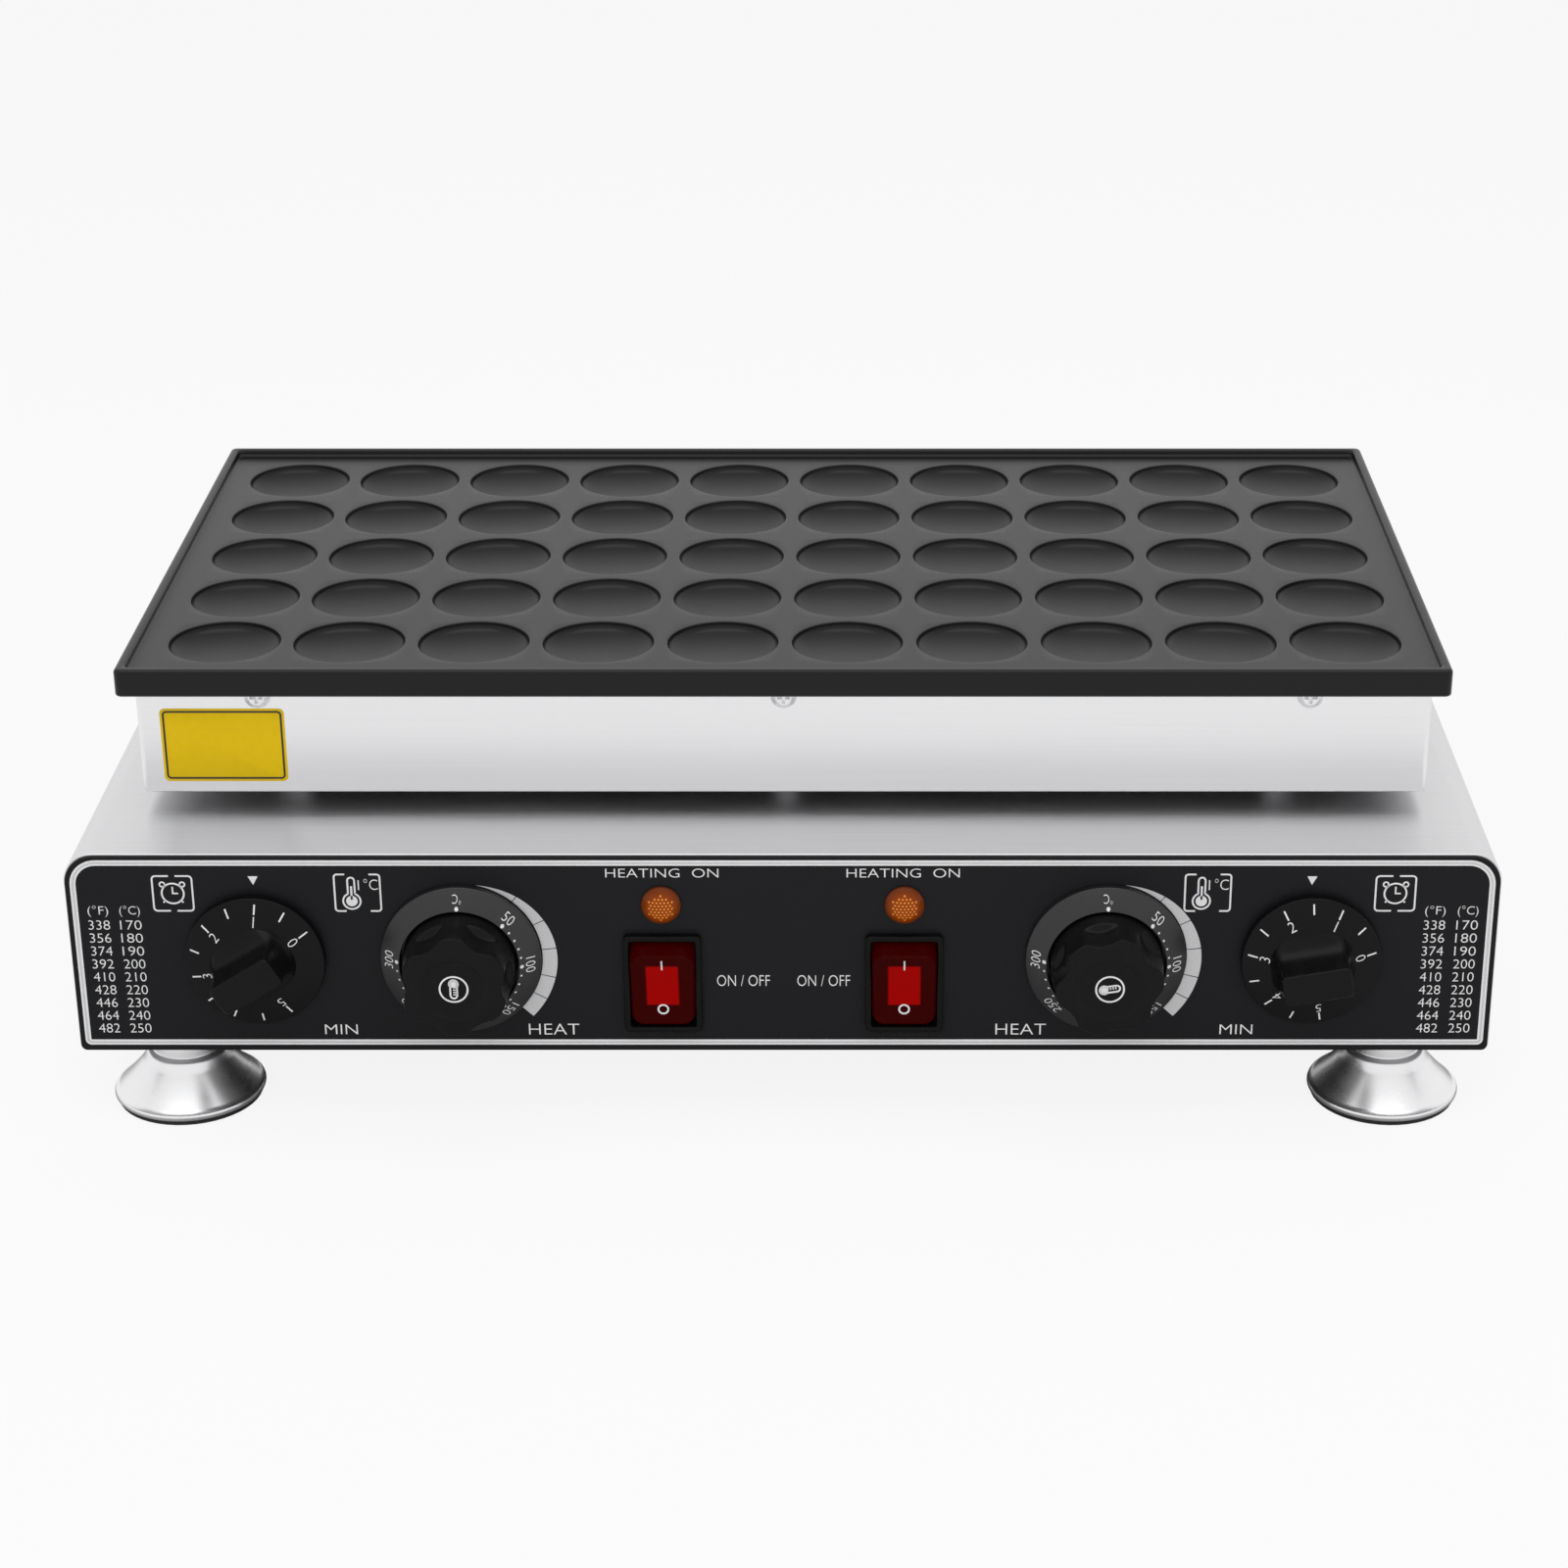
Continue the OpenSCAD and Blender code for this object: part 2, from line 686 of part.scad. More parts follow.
module baking_plate() {
    seat_edge = sheet_t + lug_gap;
    lug_y = box_d / 2 - seat_edge - lug_d / 2;
    core_edge = sheet_t + core_gap;
    color([0.2, 0.2, 0.21]) difference() {
        union() {
            translate([0, mid_y, slab_z]) linear_extrude(plate_t + rim_h)
                rounded_rect(plate_w, plate_d, plate_corner_r);
            translate([0, mid_y, core_z]) linear_extrude(core_t + cut)
                square([box_w - 2 * core_edge, box_d - 2 * core_edge], center = true);
            for (sx = [-1, 0, 1], sy = [-1, 1])
                translate([sx * box_screw_x, mid_y + sy * lug_y, slab_z + (cut - lug_h) / 2])
                    cube([lug_w, lug_d, lug_h + cut], center = true);
        }
        translate([0, mid_y, surface_z]) linear_extrude(rim_h + cut)
            rounded_rect(plate_w - 2 * rim_w, plate_d - 2 * rim_w, plate_corner_r);
        translate([0, mid_y, slab_z - cut]) linear_extrude(seat_h + cut) difference() {
            rounded_rect(plate_w - 2 * skirt_t, plate_d - 2 * skirt_t, box_corner_r);
            rounded_rect(box_w - 2 * seat_edge, box_d - 2 * seat_edge, box_corner_r - sheet_t);
        }
        for (p = mould_points) translate([p[0], p[1], surface_z]) mould_cutter();
        for (p = clamp_screw_points)
            translate([p[0], p[1], core_z - cut])
                cylinder(r = m6[0] / 2 + thread_gap, h = clamp_hole_depth + cut);
        for (sx = [-1, 0, 1], sy = [-1, 1])
            translate([sx * box_screw_x, mid_y + sy * box_d / 2, box_screw_z])
                rotate([sy * 90, 0, 0])
                    cylinder(r = m5[0] / 2 + thread_gap, h = box_screw_len + cut);
    }
}

module plate_screws() color("gainsboro") for (sx = [-1, 0, 1], sy = [-1, 1])
    translate([sx * box_screw_x, mid_y + sy * box_d / 2, box_screw_z])
        rotate([-sy * 90, 0, 0]) pan_screw(m5, box_screw_len);

// Heating elements and sensors

// Half a turn of tube of bend radius r, standing out towards +X
module half_bend(r, d) {
    rotate(-90) rotate_extrude(angle = 180) translate([r, 0]) circle(d = d);
}

module element() {
    bend_out = (run_out - run_in) / 2;
    translate([0, mid_y, element_z]) {
        for (t = [-1, 1]) {
            translate([element_in, t * run_out, 0]) rotate([0, 90, 0])
                cylinder(d = element_d, h = element_out - element_in);
            translate([inner_bend_x, t * run_in, 0]) rotate([0, 90, 0])
                cylinder(d = element_d, h = element_out - inner_bend_x);
            translate([element_out, t * (run_in + bend_out), 0]) half_bend(bend_out, element_d);
            translate([element_in - bead_len, t * run_out, -1]) rotate([0, 90, 0])
                cylinder(d = bead_d - 2, h = bead_len + 2);
            translate([element_in - terminal_len, t * run_out, -1]) rotate([0, 90, 0])
                cylinder(d = terminal_d, h = terminal_len + 1);
        }
        translate([inner_bend_x, 0, 0]) rotate(180) half_bend(run_in, element_d);
    }
}

module left_heating_element() color("dimgray") mirror([1, 0, 0]) element();
module right_heating_element() color("dimgray") element();

module element_clamps() color("gray") for (s = [-1, 1], x = clamp_x)
    translate([s * x, mid_y, clamp_z - clamp_t]) linear_extrude(clamp_t) difference() {
        square([clamp_w, clamp_len], center = true);
        for (t = [-1, 1])
            translate([0, t * clamp_screw_y]) circle(d = m6[0] + 2 * screw_clearance);
    }

clamp_screw_len = core_z - clamp_z + clamp_t + clamp_hole_depth - 0.8;

module clamp_screws() color("gainsboro") for (p = clamp_screw_points)
    translate([p[0], p[1], clamp_z - clamp_t]) rotate([180, 0, 0])
        pan_screw(m6, clamp_screw_len);

// Sensor on the side s: bulb under the plate, thin tube down to its thermostat
module capillary_sensor(s) {
    turn_z = base_top - sensor_drop;
    back_y = inside_y + thermostat_body[2];
    color("peru") {
        rod([s * bulb_in, mid_y, element_z], [s * (bulb_in + bulb_len), mid_y, element_z], element_d);
        lead([[s * (bulb_in + 2), mid_y, element_z], [s * grommet_x, mid_y, element_z],
            [s * grommet_x, mid_y, turn_z], [s * thermostat_x, back_y + sensor_loop, turn_z],
            [s * thermostat_x, back_y + sensor_loop, dial_z],
            [s * thermostat_x, back_y + rest_gap, dial_z]], capillary_d);
    }
}

module left_capillary_sensor() capillary_sensor(-1);
module right_capillary_sensor() capillary_sensor(1);

// Controls

// Square body behind the front wall with a round neck flush with the panel and a shaft bore
module control_body(size, screw_d, screw_x) {
    depth = panel_t + sheet_t;
    difference() {
        union() {
            translate([0, 0, -depth - size[2] / 2]) cube(size, center = true);
            translate([0, 0, -depth - cut]) cylinder(d = neck_d, h = depth + cut);
        }
        translate([0, 0, -depth - shaft_in])
            cylinder(r = shaft_d / 2 + shaft_gap, h = depth + shaft_in + cut);
        for (t = [-1, 1])
            translate([t * screw_x, 0, -depth - control_screw_len])
                cylinder(r = screw_d / 2 + thread_gap, h = control_screw_len + cut);
    }
}

// Shaft with a flat where the knob sits, reaching to out in front of the panel
module control_shaft(out, hold) {
    translate([0, 0, 0.5 - panel_t - sheet_t - shaft_in])
        cylinder(d = shaft_d, h = hold + panel_t + sheet_t + shaft_in - 0.5);
    translate([0, 0, hold]) linear_extrude(out - hold) d_section(0);
}

// Blind seat for that shaft in a knob
module shaft_seat(out, hold) {
    translate([0, 0, -cut]) cylinder(r = shaft_d / 2 + shaft_gap, h = hold + cut);
    translate([0, 0, hold - 0.1]) linear_extrude(out - hold + 0.3) d_section(shaft_gap);
}

thermostat_shaft_out = knob_out - 7;
timer_shaft_out = timer_out - 6;
hold_at = knob_gap + shaft_hold;

module left_thermostat() color([0.75, 0.72, 0.66])
    on_panel(-thermostat_x, dial_z) control_body(thermostat_body, m3[0], thermostat_screw_x);
module right_thermostat() color([0.75, 0.72, 0.66])
    on_panel(thermostat_x, dial_z) control_body(thermostat_body, m3[0], thermostat_screw_x);
module left_thermostat_shaft() color("gray") on_panel(-thermostat_x, dial_z)
    rotate(-thermostat_rest[0]) control_shaft(thermostat_shaft_out, hold_at);
module right_thermostat_shaft() color("gray") on_panel(thermostat_x, dial_z)
    rotate(-thermostat_rest[1]) control_shaft(thermostat_shaft_out, hold_at);

// Fixed black ring with the temperature scale, held under the thermostat's screws
module scale_ring() color([0.1, 0.1, 0.1]) difference() {
    rotate_extrude()
        polygon([[neck_d / 2 + 1, 0], [scale_d / 2, 0], [scale_d / 2, ring_edge],
            [ring_bore_d / 2, ring_inner], [ring_bore_d / 2, web_t], [neck_d / 2 + 1, web_t]]);
    for (t = [-1, 1])
        translate([t * thermostat_screw_x, 0, -cut])
            cylinder(d = m3[0] + 2 * screw_clearance, h = web_t + 2 * cut);
}

module left_scale_ring() on_panel(-thermostat_x, dial_z) scale_ring();
module right_scale_ring() on_panel(thermostat_x, dial_z) scale_ring();

// Lobed knob on a round flange, drawn in towards its domed front, its pointer lobe up
module thermostat_knob() color([0.09, 0.09, 0.09]) difference() {
    lobe_r = knob_d / 2 - lobe_inset;
    union() {
        translate([0, 0, knob_gap]) cylinder(d = knob_d, h = knob_flange);
        difference() {
            rotate_extrude()
                polygon([[0, knob_gap], [lobe_r, knob_gap], [lobe_r, knob_gap + knob_flange],
                    [lobe_r - lobe_taper, knob_out - knob_dome], [knob_flat_r, knob_out],
                    [0, knob_out]]);
            for (i = [0 : knob_lobes - 1])
                rotate((i + 0.5) * 360 / knob_lobes)
                    translate([0, knob_d / 2 - knob_hollow + hollow_r, 0])
                        cylinder(r1 = hollow_r, r2 = hollow_r + lobe_taper, h = knob_out + cut);
        }
    }
    translate([0, 0, knob_gap - cut]) difference() {
        cylinder(d = knob_cavity_d, h = knob_cavity + cut);
        translate([0, 0, -cut]) cylinder(d = hub_core_d, h = knob_cavity + 3 * cut);
    }
    shaft_seat(thermostat_shaft_out, hold_at);
}

module left_thermostat_knob() on_panel(-thermostat_x, dial_z)
    rotate(-thermostat_rest[0]) thermostat_knob();
module right_thermostat_knob() on_panel(thermostat_x, dial_z)
    rotate(-thermostat_rest[1]) thermostat_knob();

module thermostat_screws() color("gainsboro") for (s = [-1, 1], t = [-1, 1])
    on_panel(s * thermostat_x + t * thermostat_screw_x, dial_z)
        translate([0, 0, web_t]) pan_screw(m3, control_screw_len + web_t + 1);

module left_timer() color([0.82, 0.8, 0.76])
    on_panel(-timer_x, dial_z) control_body(timer_body, m4[0], timer_screw_x);
module right_timer() color([0.82, 0.8, 0.76])
    on_panel(timer_x, dial_z) control_body(timer_body, m4[0], timer_screw_x);
module left_timer_shaft() color("gray") on_panel(-timer_x, dial_z)
    rotate(-timer_rest[0]) control_shaft(timer_shaft_out, hold_at);
module right_timer_shaft() color("gray") on_panel(timer_x, dial_z)
    rotate(-timer_rest[1]) control_shaft(timer_shaft_out, hold_at);

// One side of the grip's section, from its foot inside the dial up to its front
function flared_side(half, foot_half) = concat([[foot_half, dial_gap + cut]],
    [for (f = grip_flare) [half + f[1] * (foot_half - half), dial_face + f[0]]],
    [[half, timer_out]]);

// Bar grip with round ends, flared on all sides down to its foot
module timer_grip() {
    side = flared_side(grip_w / 2, grip_foot_w / 2);
    other_side = [for (i = [len(side) - 1 : -1 : 0]) [-side[i][0], side[i][1]]];
    intersection() {
        rotate_extrude()
            polygon(concat([[0, dial_gap + cut]], flared_side(grip_len / 2, grip_foot_len / 2),
                [[0, timer_out]]));
        along_y(-grip_foot_len / 2, grip_foot_len) polygon(concat(side, other_side));
    }
}

// Round dial with a bar grip, the bar pointing at its zero mark, zero up
module timer_dial() color([0.12, 0.12, 0.12]) difference() {
    union() {
        rotate_extrude()
            polygon([[0, dial_gap], [timer_d / 2, dial_gap], [timer_d / 2, dial_edge],
                [grip_foot_len / 2, dial_face], [0, dial_face]]);
        timer_grip();
    }
    translate([0, 0, dial_gap - cut]) difference() {
        cylinder(d = dial_cavity_d, h = dial_cavity - dial_gap + cut);
        translate([0, 0, -cut]) cylinder(d = hub_core_d, h = dial_cavity + 3 * cut);
    }
    shaft_seat(timer_shaft_out, hold_at);
}

module left_timer_dial() on_panel(-timer_x, dial_z) rotate(-timer_rest[0]) timer_dial();
module right_timer_dial() on_panel(timer_x, dial_z) rotate(-timer_rest[1]) timer_dial();

module timer_screws() color("gainsboro") for (s = [-1, 1], t = [-1, 1])
    on_panel(s * timer_x + t * timer_screw_x, dial_z) pan_screw(m4, control_screw_len);

// Switches and lamps

module switch_housing() color([0.07, 0.07, 0.07]) difference() {
    union() {
        linear_extrude(frame_out)
            rounded_rect(opening_w + 2 * frame_w, rocker_opening_h + 2 * frame_w, frame_corner_r);
        translate([0, 0, -housing_in]) linear_extrude(housing_in + cut)
            square([opening_w + 2 * housing_wall, rocker_opening_h + 2 * housing_wall],
                center = true);
        for (t = [-1, 1])
            translate([0, t * spade_z, -housing_in - spade[2] / 2 + cut / 2])
                cube([spade[0], spade[1], spade[2] + cut], center = true);
    }
    translate([0, 0, housing_back - housing_in])
        linear_extrude(housing_in - housing_back + frame_out + cut)
            square([opening_w, rocker_opening_h], center = true);
    translate([0, 0, -pivot_in]) rotate([0, 90, 0])
        cylinder(r = pivot_d / 2 + shaft_gap, h = opening_w + 4 * housing_wall, center = true);
}

// Rocker about its pivot, tilted so that its upper half stands out
module rocker() color([0.6, 0.02, 0.02]) translate([0, 0, -pivot_in]) rotate([rocker_tilt, 0, 0]) {
    sweep_r = rocker_opening_h / 2 - rocker_gap;
    face = rocker_face + pivot_in;
    difference() {
        intersection() {
            rotate([0, 90, 0]) cylinder(r = sweep_r, h = rocker_w, center = true);
            translate([0, 0, -rocker_back]) linear_extrude(face + rocker_back)
                rounded_rect(rocker_w, 2 * sweep_r, rocker_corner_r);
        }
        translate([0, 0, face - 1.2 + rocker_dish_r]) rotate([0, 90, 0])
            cylinder(r = rocker_dish_r, h = rocker_w + 2 * cut, center = true);
    }
    rotate([0, 90, 0]) cylinder(d = pivot_d, h = rocker_w + 2 * pivot_len, center = true);
}

module left_switch_housing() on_panel(-switch_x, switch_z) switch_housing();
module right_switch_housing() on_panel(switch_x, switch_z) switch_housing();
module left_rocker() on_panel(-switch_x, switch_z) rocker();
module right_rocker() on_panel(switch_x, switch_z) rocker();

module lamp_lens() color([0.85, 0.42, 0.05]) rotate_extrude()
    polygon([[0, -lamp_stem_len], [lamp_stem_d / 2, -lamp_stem_len], [lamp_stem_d / 2, 0],
        [lamp_d / 2, 0], [lamp_d / 2, lamp_flange], [lamp_d / 2 - 0.8, lamp_out - 1.2],
        [lamp_d / 2 - 2.4, lamp_out], [0, lamp_out]]);

module lamp_body() color([0.12, 0.12, 0.12]) translate([0, 0, -panel_t - sheet_t - lamp_body_len])
    difference() {
        cylinder(d = lamp_body_d, h = lamp_body_len);
        translate([0, 0, lamp_body_len + panel_t + sheet_t - lamp_stem_len - rest_gap])
            cylinder(d = lamp_stem_d + 2 * sheet_gap, h = lamp_body_len);
    }

module left_lamp_lens() on_panel(-switch_x, lamp_z) lamp_lens();
module right_lamp_lens() on_panel(switch_x, lamp_z) lamp_lens();
module left_lamp_body() on_panel(-switch_x, lamp_z) lamp_body();
module right_lamp_body() on_panel(switch_x, lamp_z) lamp_body();

// Mains entry and wiring

module cable_gland() color([0.1, 0.1, 0.1]) on_rear(gland_x, gland_z) difference() {
    union() {
        cylinder(d = gland_hex, h = gland_hex_h, $fn = 6);
        translate([0, 0, gland_hex_h]) rotate_extrude()
            polygon([[0, 0], [gland_neck_d / 2 + 2.5, 0], [gland_neck_d / 2 + 2.5, 8],
                [gland_bore / 2 + 2.5, gland_out - gland_hex_h], [0, gland_out - gland_hex_h]]);
        translate([0, 0, -sheet_t - gland_neck_in])
            cylinder(d = gland_neck_d, h = sheet_t + gland_neck_in + cut);
    }
    translate([0, 0, -sheet_t - gland_neck_in - cut])
        cylinder(d = gland_bore, h = gland_out + sheet_t + gland_neck_in + 2 * cut);
}

module gland_locknut() color([0.1, 0.1, 0.1]) on_rear(gland_x, gland_z)
    translate([0, 0, -sheet_t - gland_nut_h]) difference() {
        cylinder(d = gland_hex + 2, h = gland_nut_h, $fn = 6);
        translate([0, 0, -cut])
            cylinder(r = gland_neck_d / 2 + thread_gap, h = gland_nut_h + 2 * cut);
    }

module terminal_block() color("ivory") translate([block_x, block_y, block_z]) difference() {
    translate([-block[0] / 2, -block[1] / 2, 0]) cube(block);
    for (t = [-1, 1])
        translate([t * block_screw_x, 0, -cut])
            cylinder(d = m4[0] + 2 * screw_clearance, h = block[2] + 2 * cut);
    for (i = [-1.5 : 1.5])
        translate([i * block_pitch, 0, block[2] / 2]) rotate([90, 0, 0])
            cylinder(d = wire_d + 1.4, h = block[1] + 2 * cut, center = true);
}

module terminal_screws() color("gainsboro") for (t = [-1, 1])
    translate([block_x + t * block_screw_x, block_y, block_z + block[2]])
        pan_screw(m4, block[2] + sheet_t);

module earth_stud() color("goldenrod") translate([block_x + block[0], block_y, block_z]) {
    cylinder(d = 12, h = 1.5);
    cylinder(d = 6, h = 18);
    translate([0, 0, 4]) cylinder(d = 11.4, h = 5, $fn = 6);
}

// Leads of the side s: element to block and thermostat, switch to block, lamp and timer
module side_leads(s) {
    terminal_x = s * (element_in - terminal_len - rest_gap - wire_d / 2);
    run_z = box_z + sheet_t + board_t + 6;
    hole_y = grommet_bore / 2 - wire_d;
    loft_z = base_top - loft_drop;
    back_y = inside_y + thermostat_body[2] + rest_gap;
    switch_y = front_y + housing_in + spade[2] + rest_gap;
    block_in = block_y - block[1] / 2 - rest_gap;
    low_z = block_z + block[2] / 2;
    outer_x = s * 1.5 * block_pitch;
    inner_x = s * 0.5 * block_pitch;
    lead([[terminal_x, mid_y + run_out, element_z - 1], [terminal_x, mid_y + run_out, run_z],
        [s * grommet_x, mid_y + hole_y, run_z], [s * grommet_x, mid_y + hole_y, loft_z],
        [outer_x, block_in - lead_loop, loft_z], [outer_x, block_in - lead_loop, low_z],
        [outer_x, block_in, low_z]], wire_d);
    lead([[terminal_x, mid_y - run_out, element_z - 1], [terminal_x, mid_y - run_out, run_z],
        [s * grommet_x, mid_y - hole_y, run_z], [s * grommet_x, mid_y - hole_y, loft_z],
        [s * (thermostat_x - lead_side), back_y + lead_loop, loft_z],
        [s * (thermostat_x - lead_side), back_y + lead_loop, dial_z + lead_step],
        [s * (thermostat_x - lead_side), back_y, dial_z + lead_step]], wire_d);
    lead([[s * switch_x, switch_y, switch_z - spade_z],
        [s * switch_x, switch_y + switch_loop, switch_z - spade_z],
        [inner_x, switch_y + switch_reach, low_z], [inner_x, block_in, low_z]], wire_d);
    lead([[s * switch_x, switch_y, switch_z + spade_z],
        [s * switch_x, switch_y + lamp_loop, switch_z + spade_z],
        [s * switch_x, switch_y + lamp_loop, lamp_z],
        [s * switch_x, inside_y + lamp_body_len + rest_gap, lamp_z]], wire_d);
    lead([[s * timer_x, inside_y + timer_body[2] + rest_gap, dial_z],
        [s * timer_x, inside_y + timer_body[2] + lamp_loop, dial_z],
        [s * (thermostat_x + lead_side), back_y + lead_loop, dial_z - lead_step],
        [s * (thermostat_x + lead_side), back_y, dial_z - lead_step]], wire_d);
}

module wiring_harness() color("firebrick") for (s = [-1, 1]) side_leads(s);

base_shell();
front_wall();
control_panel();
base_floor();
rear_wall();
case_screws();
foot_front_left();
foot_front_right();
foot_rear_left();
foot_rear_right();
foot_pads();
foot_bolts();
foot_nuts();
deck_spacers();
deck_screws();
deck_nuts();
wire_grommets();
heater_box();
insulation_board();
baking_plate();
plate_screws();
left_heating_element();
right_heating_element();
element_clamps();
clamp_screws();
left_capillary_sensor();
right_capillary_sensor();
left_thermostat();
right_thermostat();
left_thermostat_shaft();
right_thermostat_shaft();
left_thermostat_knob();
right_thermostat_knob();
left_scale_ring();
right_scale_ring();
thermostat_screws();
left_timer();
right_timer();
left_timer_shaft();
right_timer_shaft();
left_timer_dial();
right_timer_dial();
timer_screws();
left_switch_housing();
right_switch_housing();
left_rocker();
right_rocker();
left_lamp_lens();
right_lamp_lens();
left_lamp_body();
right_lamp_body();
cable_gland();
gland_locknut();
terminal_block();
terminal_screws();
earth_stud();
wiring_harness();
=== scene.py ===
"""Looks for an electric grill for small round pancakes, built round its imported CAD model.

Lengths are in millimetres until a mesh is made. +X is right, +Y back and +Z up, as in the model.
"""
import json
import math

import bmesh
import bpy
import numpy as np
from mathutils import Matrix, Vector


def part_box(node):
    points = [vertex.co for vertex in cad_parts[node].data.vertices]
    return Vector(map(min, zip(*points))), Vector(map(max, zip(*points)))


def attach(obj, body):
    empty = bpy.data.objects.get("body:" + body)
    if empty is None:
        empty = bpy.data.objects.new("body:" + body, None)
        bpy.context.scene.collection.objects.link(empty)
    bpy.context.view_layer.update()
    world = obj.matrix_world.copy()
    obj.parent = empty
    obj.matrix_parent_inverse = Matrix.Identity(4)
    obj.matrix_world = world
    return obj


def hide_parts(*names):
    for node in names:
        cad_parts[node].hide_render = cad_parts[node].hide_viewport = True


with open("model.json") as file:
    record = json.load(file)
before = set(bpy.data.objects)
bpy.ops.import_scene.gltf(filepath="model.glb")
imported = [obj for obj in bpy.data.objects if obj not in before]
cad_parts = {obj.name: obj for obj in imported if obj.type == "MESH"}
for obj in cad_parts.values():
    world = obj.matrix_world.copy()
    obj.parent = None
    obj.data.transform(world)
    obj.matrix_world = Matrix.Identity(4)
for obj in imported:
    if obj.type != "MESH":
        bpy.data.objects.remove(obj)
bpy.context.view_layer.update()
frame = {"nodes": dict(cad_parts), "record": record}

# Table, light and camera
# A plain pale table top in a white studio, with broad soft lamps above and in front of the machine.
# Metal mirrors the bright table, with a painted shadow where the machine stands close over it, but not the
# front lamp.

MM = 0.001


def corners(node):
    """Lowest and highest corner of a CAD node at rest, in millimetres."""
    low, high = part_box(node)
    return np.array(low) / MM, np.array(high) / MM


def middle(node):
    """Middle of a CAD node's box at rest, in millimetres."""
    return sum(corners(node)) / 2


def half_size(node):
    """Half the width, depth and height of a CAD node's box at rest, in millimetres."""
    low, high = corners(node)
    return (high - low) / 2


front_y = corners("control_panel")[0][1]
mid_y = middle("baking_plate")[1]
rim_h = 3.0
surface_z = corners("baking_plate")[1][2] - rim_h

camera_from_plate = np.array([31.3, -1371.2, 501.9])
camera_data = bpy.data.cameras.new("camera")
camera_data.sensor_width = 36.0
camera_data.lens = 78.06
camera_data.shift_x = -0.0504
camera = bpy.data.objects.new("camera", camera_data)
camera.location = (np.array([0.0, mid_y, surface_z]) + camera_from_plate) * MM
camera.rotation_euler = (math.radians(66.06), 0.0, 0.0)
bpy.context.scene.collection.objects.link(camera)
bpy.context.scene.camera = camera
bpy.context.scene.view_settings.view_transform = "Standard"


def maths(tree, operation, *values):
    """Result of a Math node, whose values are numbers or other nodes' outputs."""
    node = tree.nodes.new("ShaderNodeMath")
    node.operation = operation
    for socket, value in zip(node.inputs, values):
        if isinstance(value, float):
            socket.default_value = value
        else:
            tree.links.new(value, socket)
    return node.outputs[0]


def seen_directly(tree):
    """1 for rays that show the background itself, in the picture, in metal or in glass; else 0."""
    path = tree.nodes.new("ShaderNodeLightPath")
    mirrored = maths(tree, "MAXIMUM", path.outputs["Is Glossy Ray"], path.outputs["Is Transmission Ray"])
    return maths(tree, "MAXIMUM", path.outputs["Is Camera Ray"], mirrored)


def set_sockets(node, **constants):
    """Puts constants straight on a node's own sockets, their names with _ for a space."""
    for socket, value in constants.items():
        node.inputs[socket.replace("_", " ")].default_value = value
    return node


def show(tree, share, first, second, output):
    """Mixes two shaders, by a share of the second, and shows the result on an output node."""
    mix = tree.nodes.new("ShaderNodeMixShader")
    for source, socket in ((share, "Fac"), (first.outputs[0], 1), (second.outputs[0], 2)):
        tree.links.new(source, mix.inputs[socket])
    tree.links.new(mix.outputs[0], tree.nodes[output].inputs["Surface"])


studio =bpy.data.worlds.new("studio")
studio.use_nodes = True
bpy.context.scene.world = studio
studio_tree = studio.node_tree
white = (1.0, 1.0, 1.0, 1.0)
ambient = set_sockets(studio_tree.nodes["Background"], Color=white, Strength=0.45)
white_wall = set_sockets(studio_tree.nodes.new("ShaderNodeBackground"), Color=white)
show(studio_tree, seen_directly(studio_tree), ambient, white_wall, "World Output")


def soft_lamp(name, place, target, size, watts):
    """A rectangular area lamp, placed and sized in metres, that faces its target."""
    lamp = bpy.data.lights.new(name, "AREA")
    lamp.shape = "RECTANGLE"
    lamp.size, lamp.size_y = size
    lamp.energy = watts
    holder = bpy.data.objects.new(name, lamp)
    holder.location = place
    holder.rotation_euler = (Vector(target) - Vector(place)).to_track_quat("-Z", "Y").to_euler()
    bpy.context.scene.collection.objects.link(holder)
    return holder


soft_lamp("top_softbox", (0.0, -0.35, 1.75), (0.0, 0.0, 0.15), (1.9, 1.1), 7.0)
front_softbox = soft_lamp("front_softbox", (0.0, -1.35, 1.45), (0.0, 0.0, 0.1), (2.4, 1.4), 10.5)
front_softbox.visible_glossy = False


def stage_sheet(name, spread, material):
    """A flat rectangle of the studio, given by its corner points in metres."""
    mesh = bpy.data.meshes.new(name)
    mesh.from_pydata(spread, [], [(0, 1, 2, 3)])
    mesh.materials.append(material)
    sheet = bpy.data.objects.new(name, mesh)
    bpy.context.scene.collection.objects.link(sheet)


table_white = bpy.data.materials.new("table_white")
table_white.use_nodes = True
table_tree = table_white.node_tree
table_shader = set_sockets(table_tree.nodes["Principled BSDF"], Base_Color=(0.9, 0.9, 0.9, 1.0),
    Roughness=0.8, Specular_IOR_Level=0.0)
table_glow = table_tree.nodes.new("ShaderNodeEmission")
table_path = table_tree.nodes.new("ShaderNodeLightPath")
# Painted shadow: ambient occlusion dims the table's glow, as metal sees it, where the machine stands close
# over it.
table_shade = set_sockets(table_tree.nodes.new("ShaderNodeAmbientOcclusion"), Distance=0.12)
table_painted_shadow = maths(table_tree, "POWER", table_shade.outputs["AO"], 2.0)
table_open = maths(table_tree, "MAXIMUM", table_path.outputs["Is Camera Ray"], table_painted_shadow)
table_tree.links.new(table_open, table_glow.inputs["Strength"])
table_part = maths(table_tree, "MULTIPLY", seen_directly(table_tree), 0.88)
show(table_tree, table_part, table_shader, table_glow, "Material Output")
table_reach = 8.0
table_z = -0.0002
stage_sheet("table_top", [(x * table_reach, y * table_reach, table_z)
    for x, y in ((-1, -1), (1, -1), (1, 1), (-1, 1))], table_white)

# Base: a folded sheet of brushed stainless steel, open in front, with a floor and a rear wall
# The hood is one sheet bent down over both sides and in under them; floor and rear wall are
# screwed to its flanges with pan-head screws.


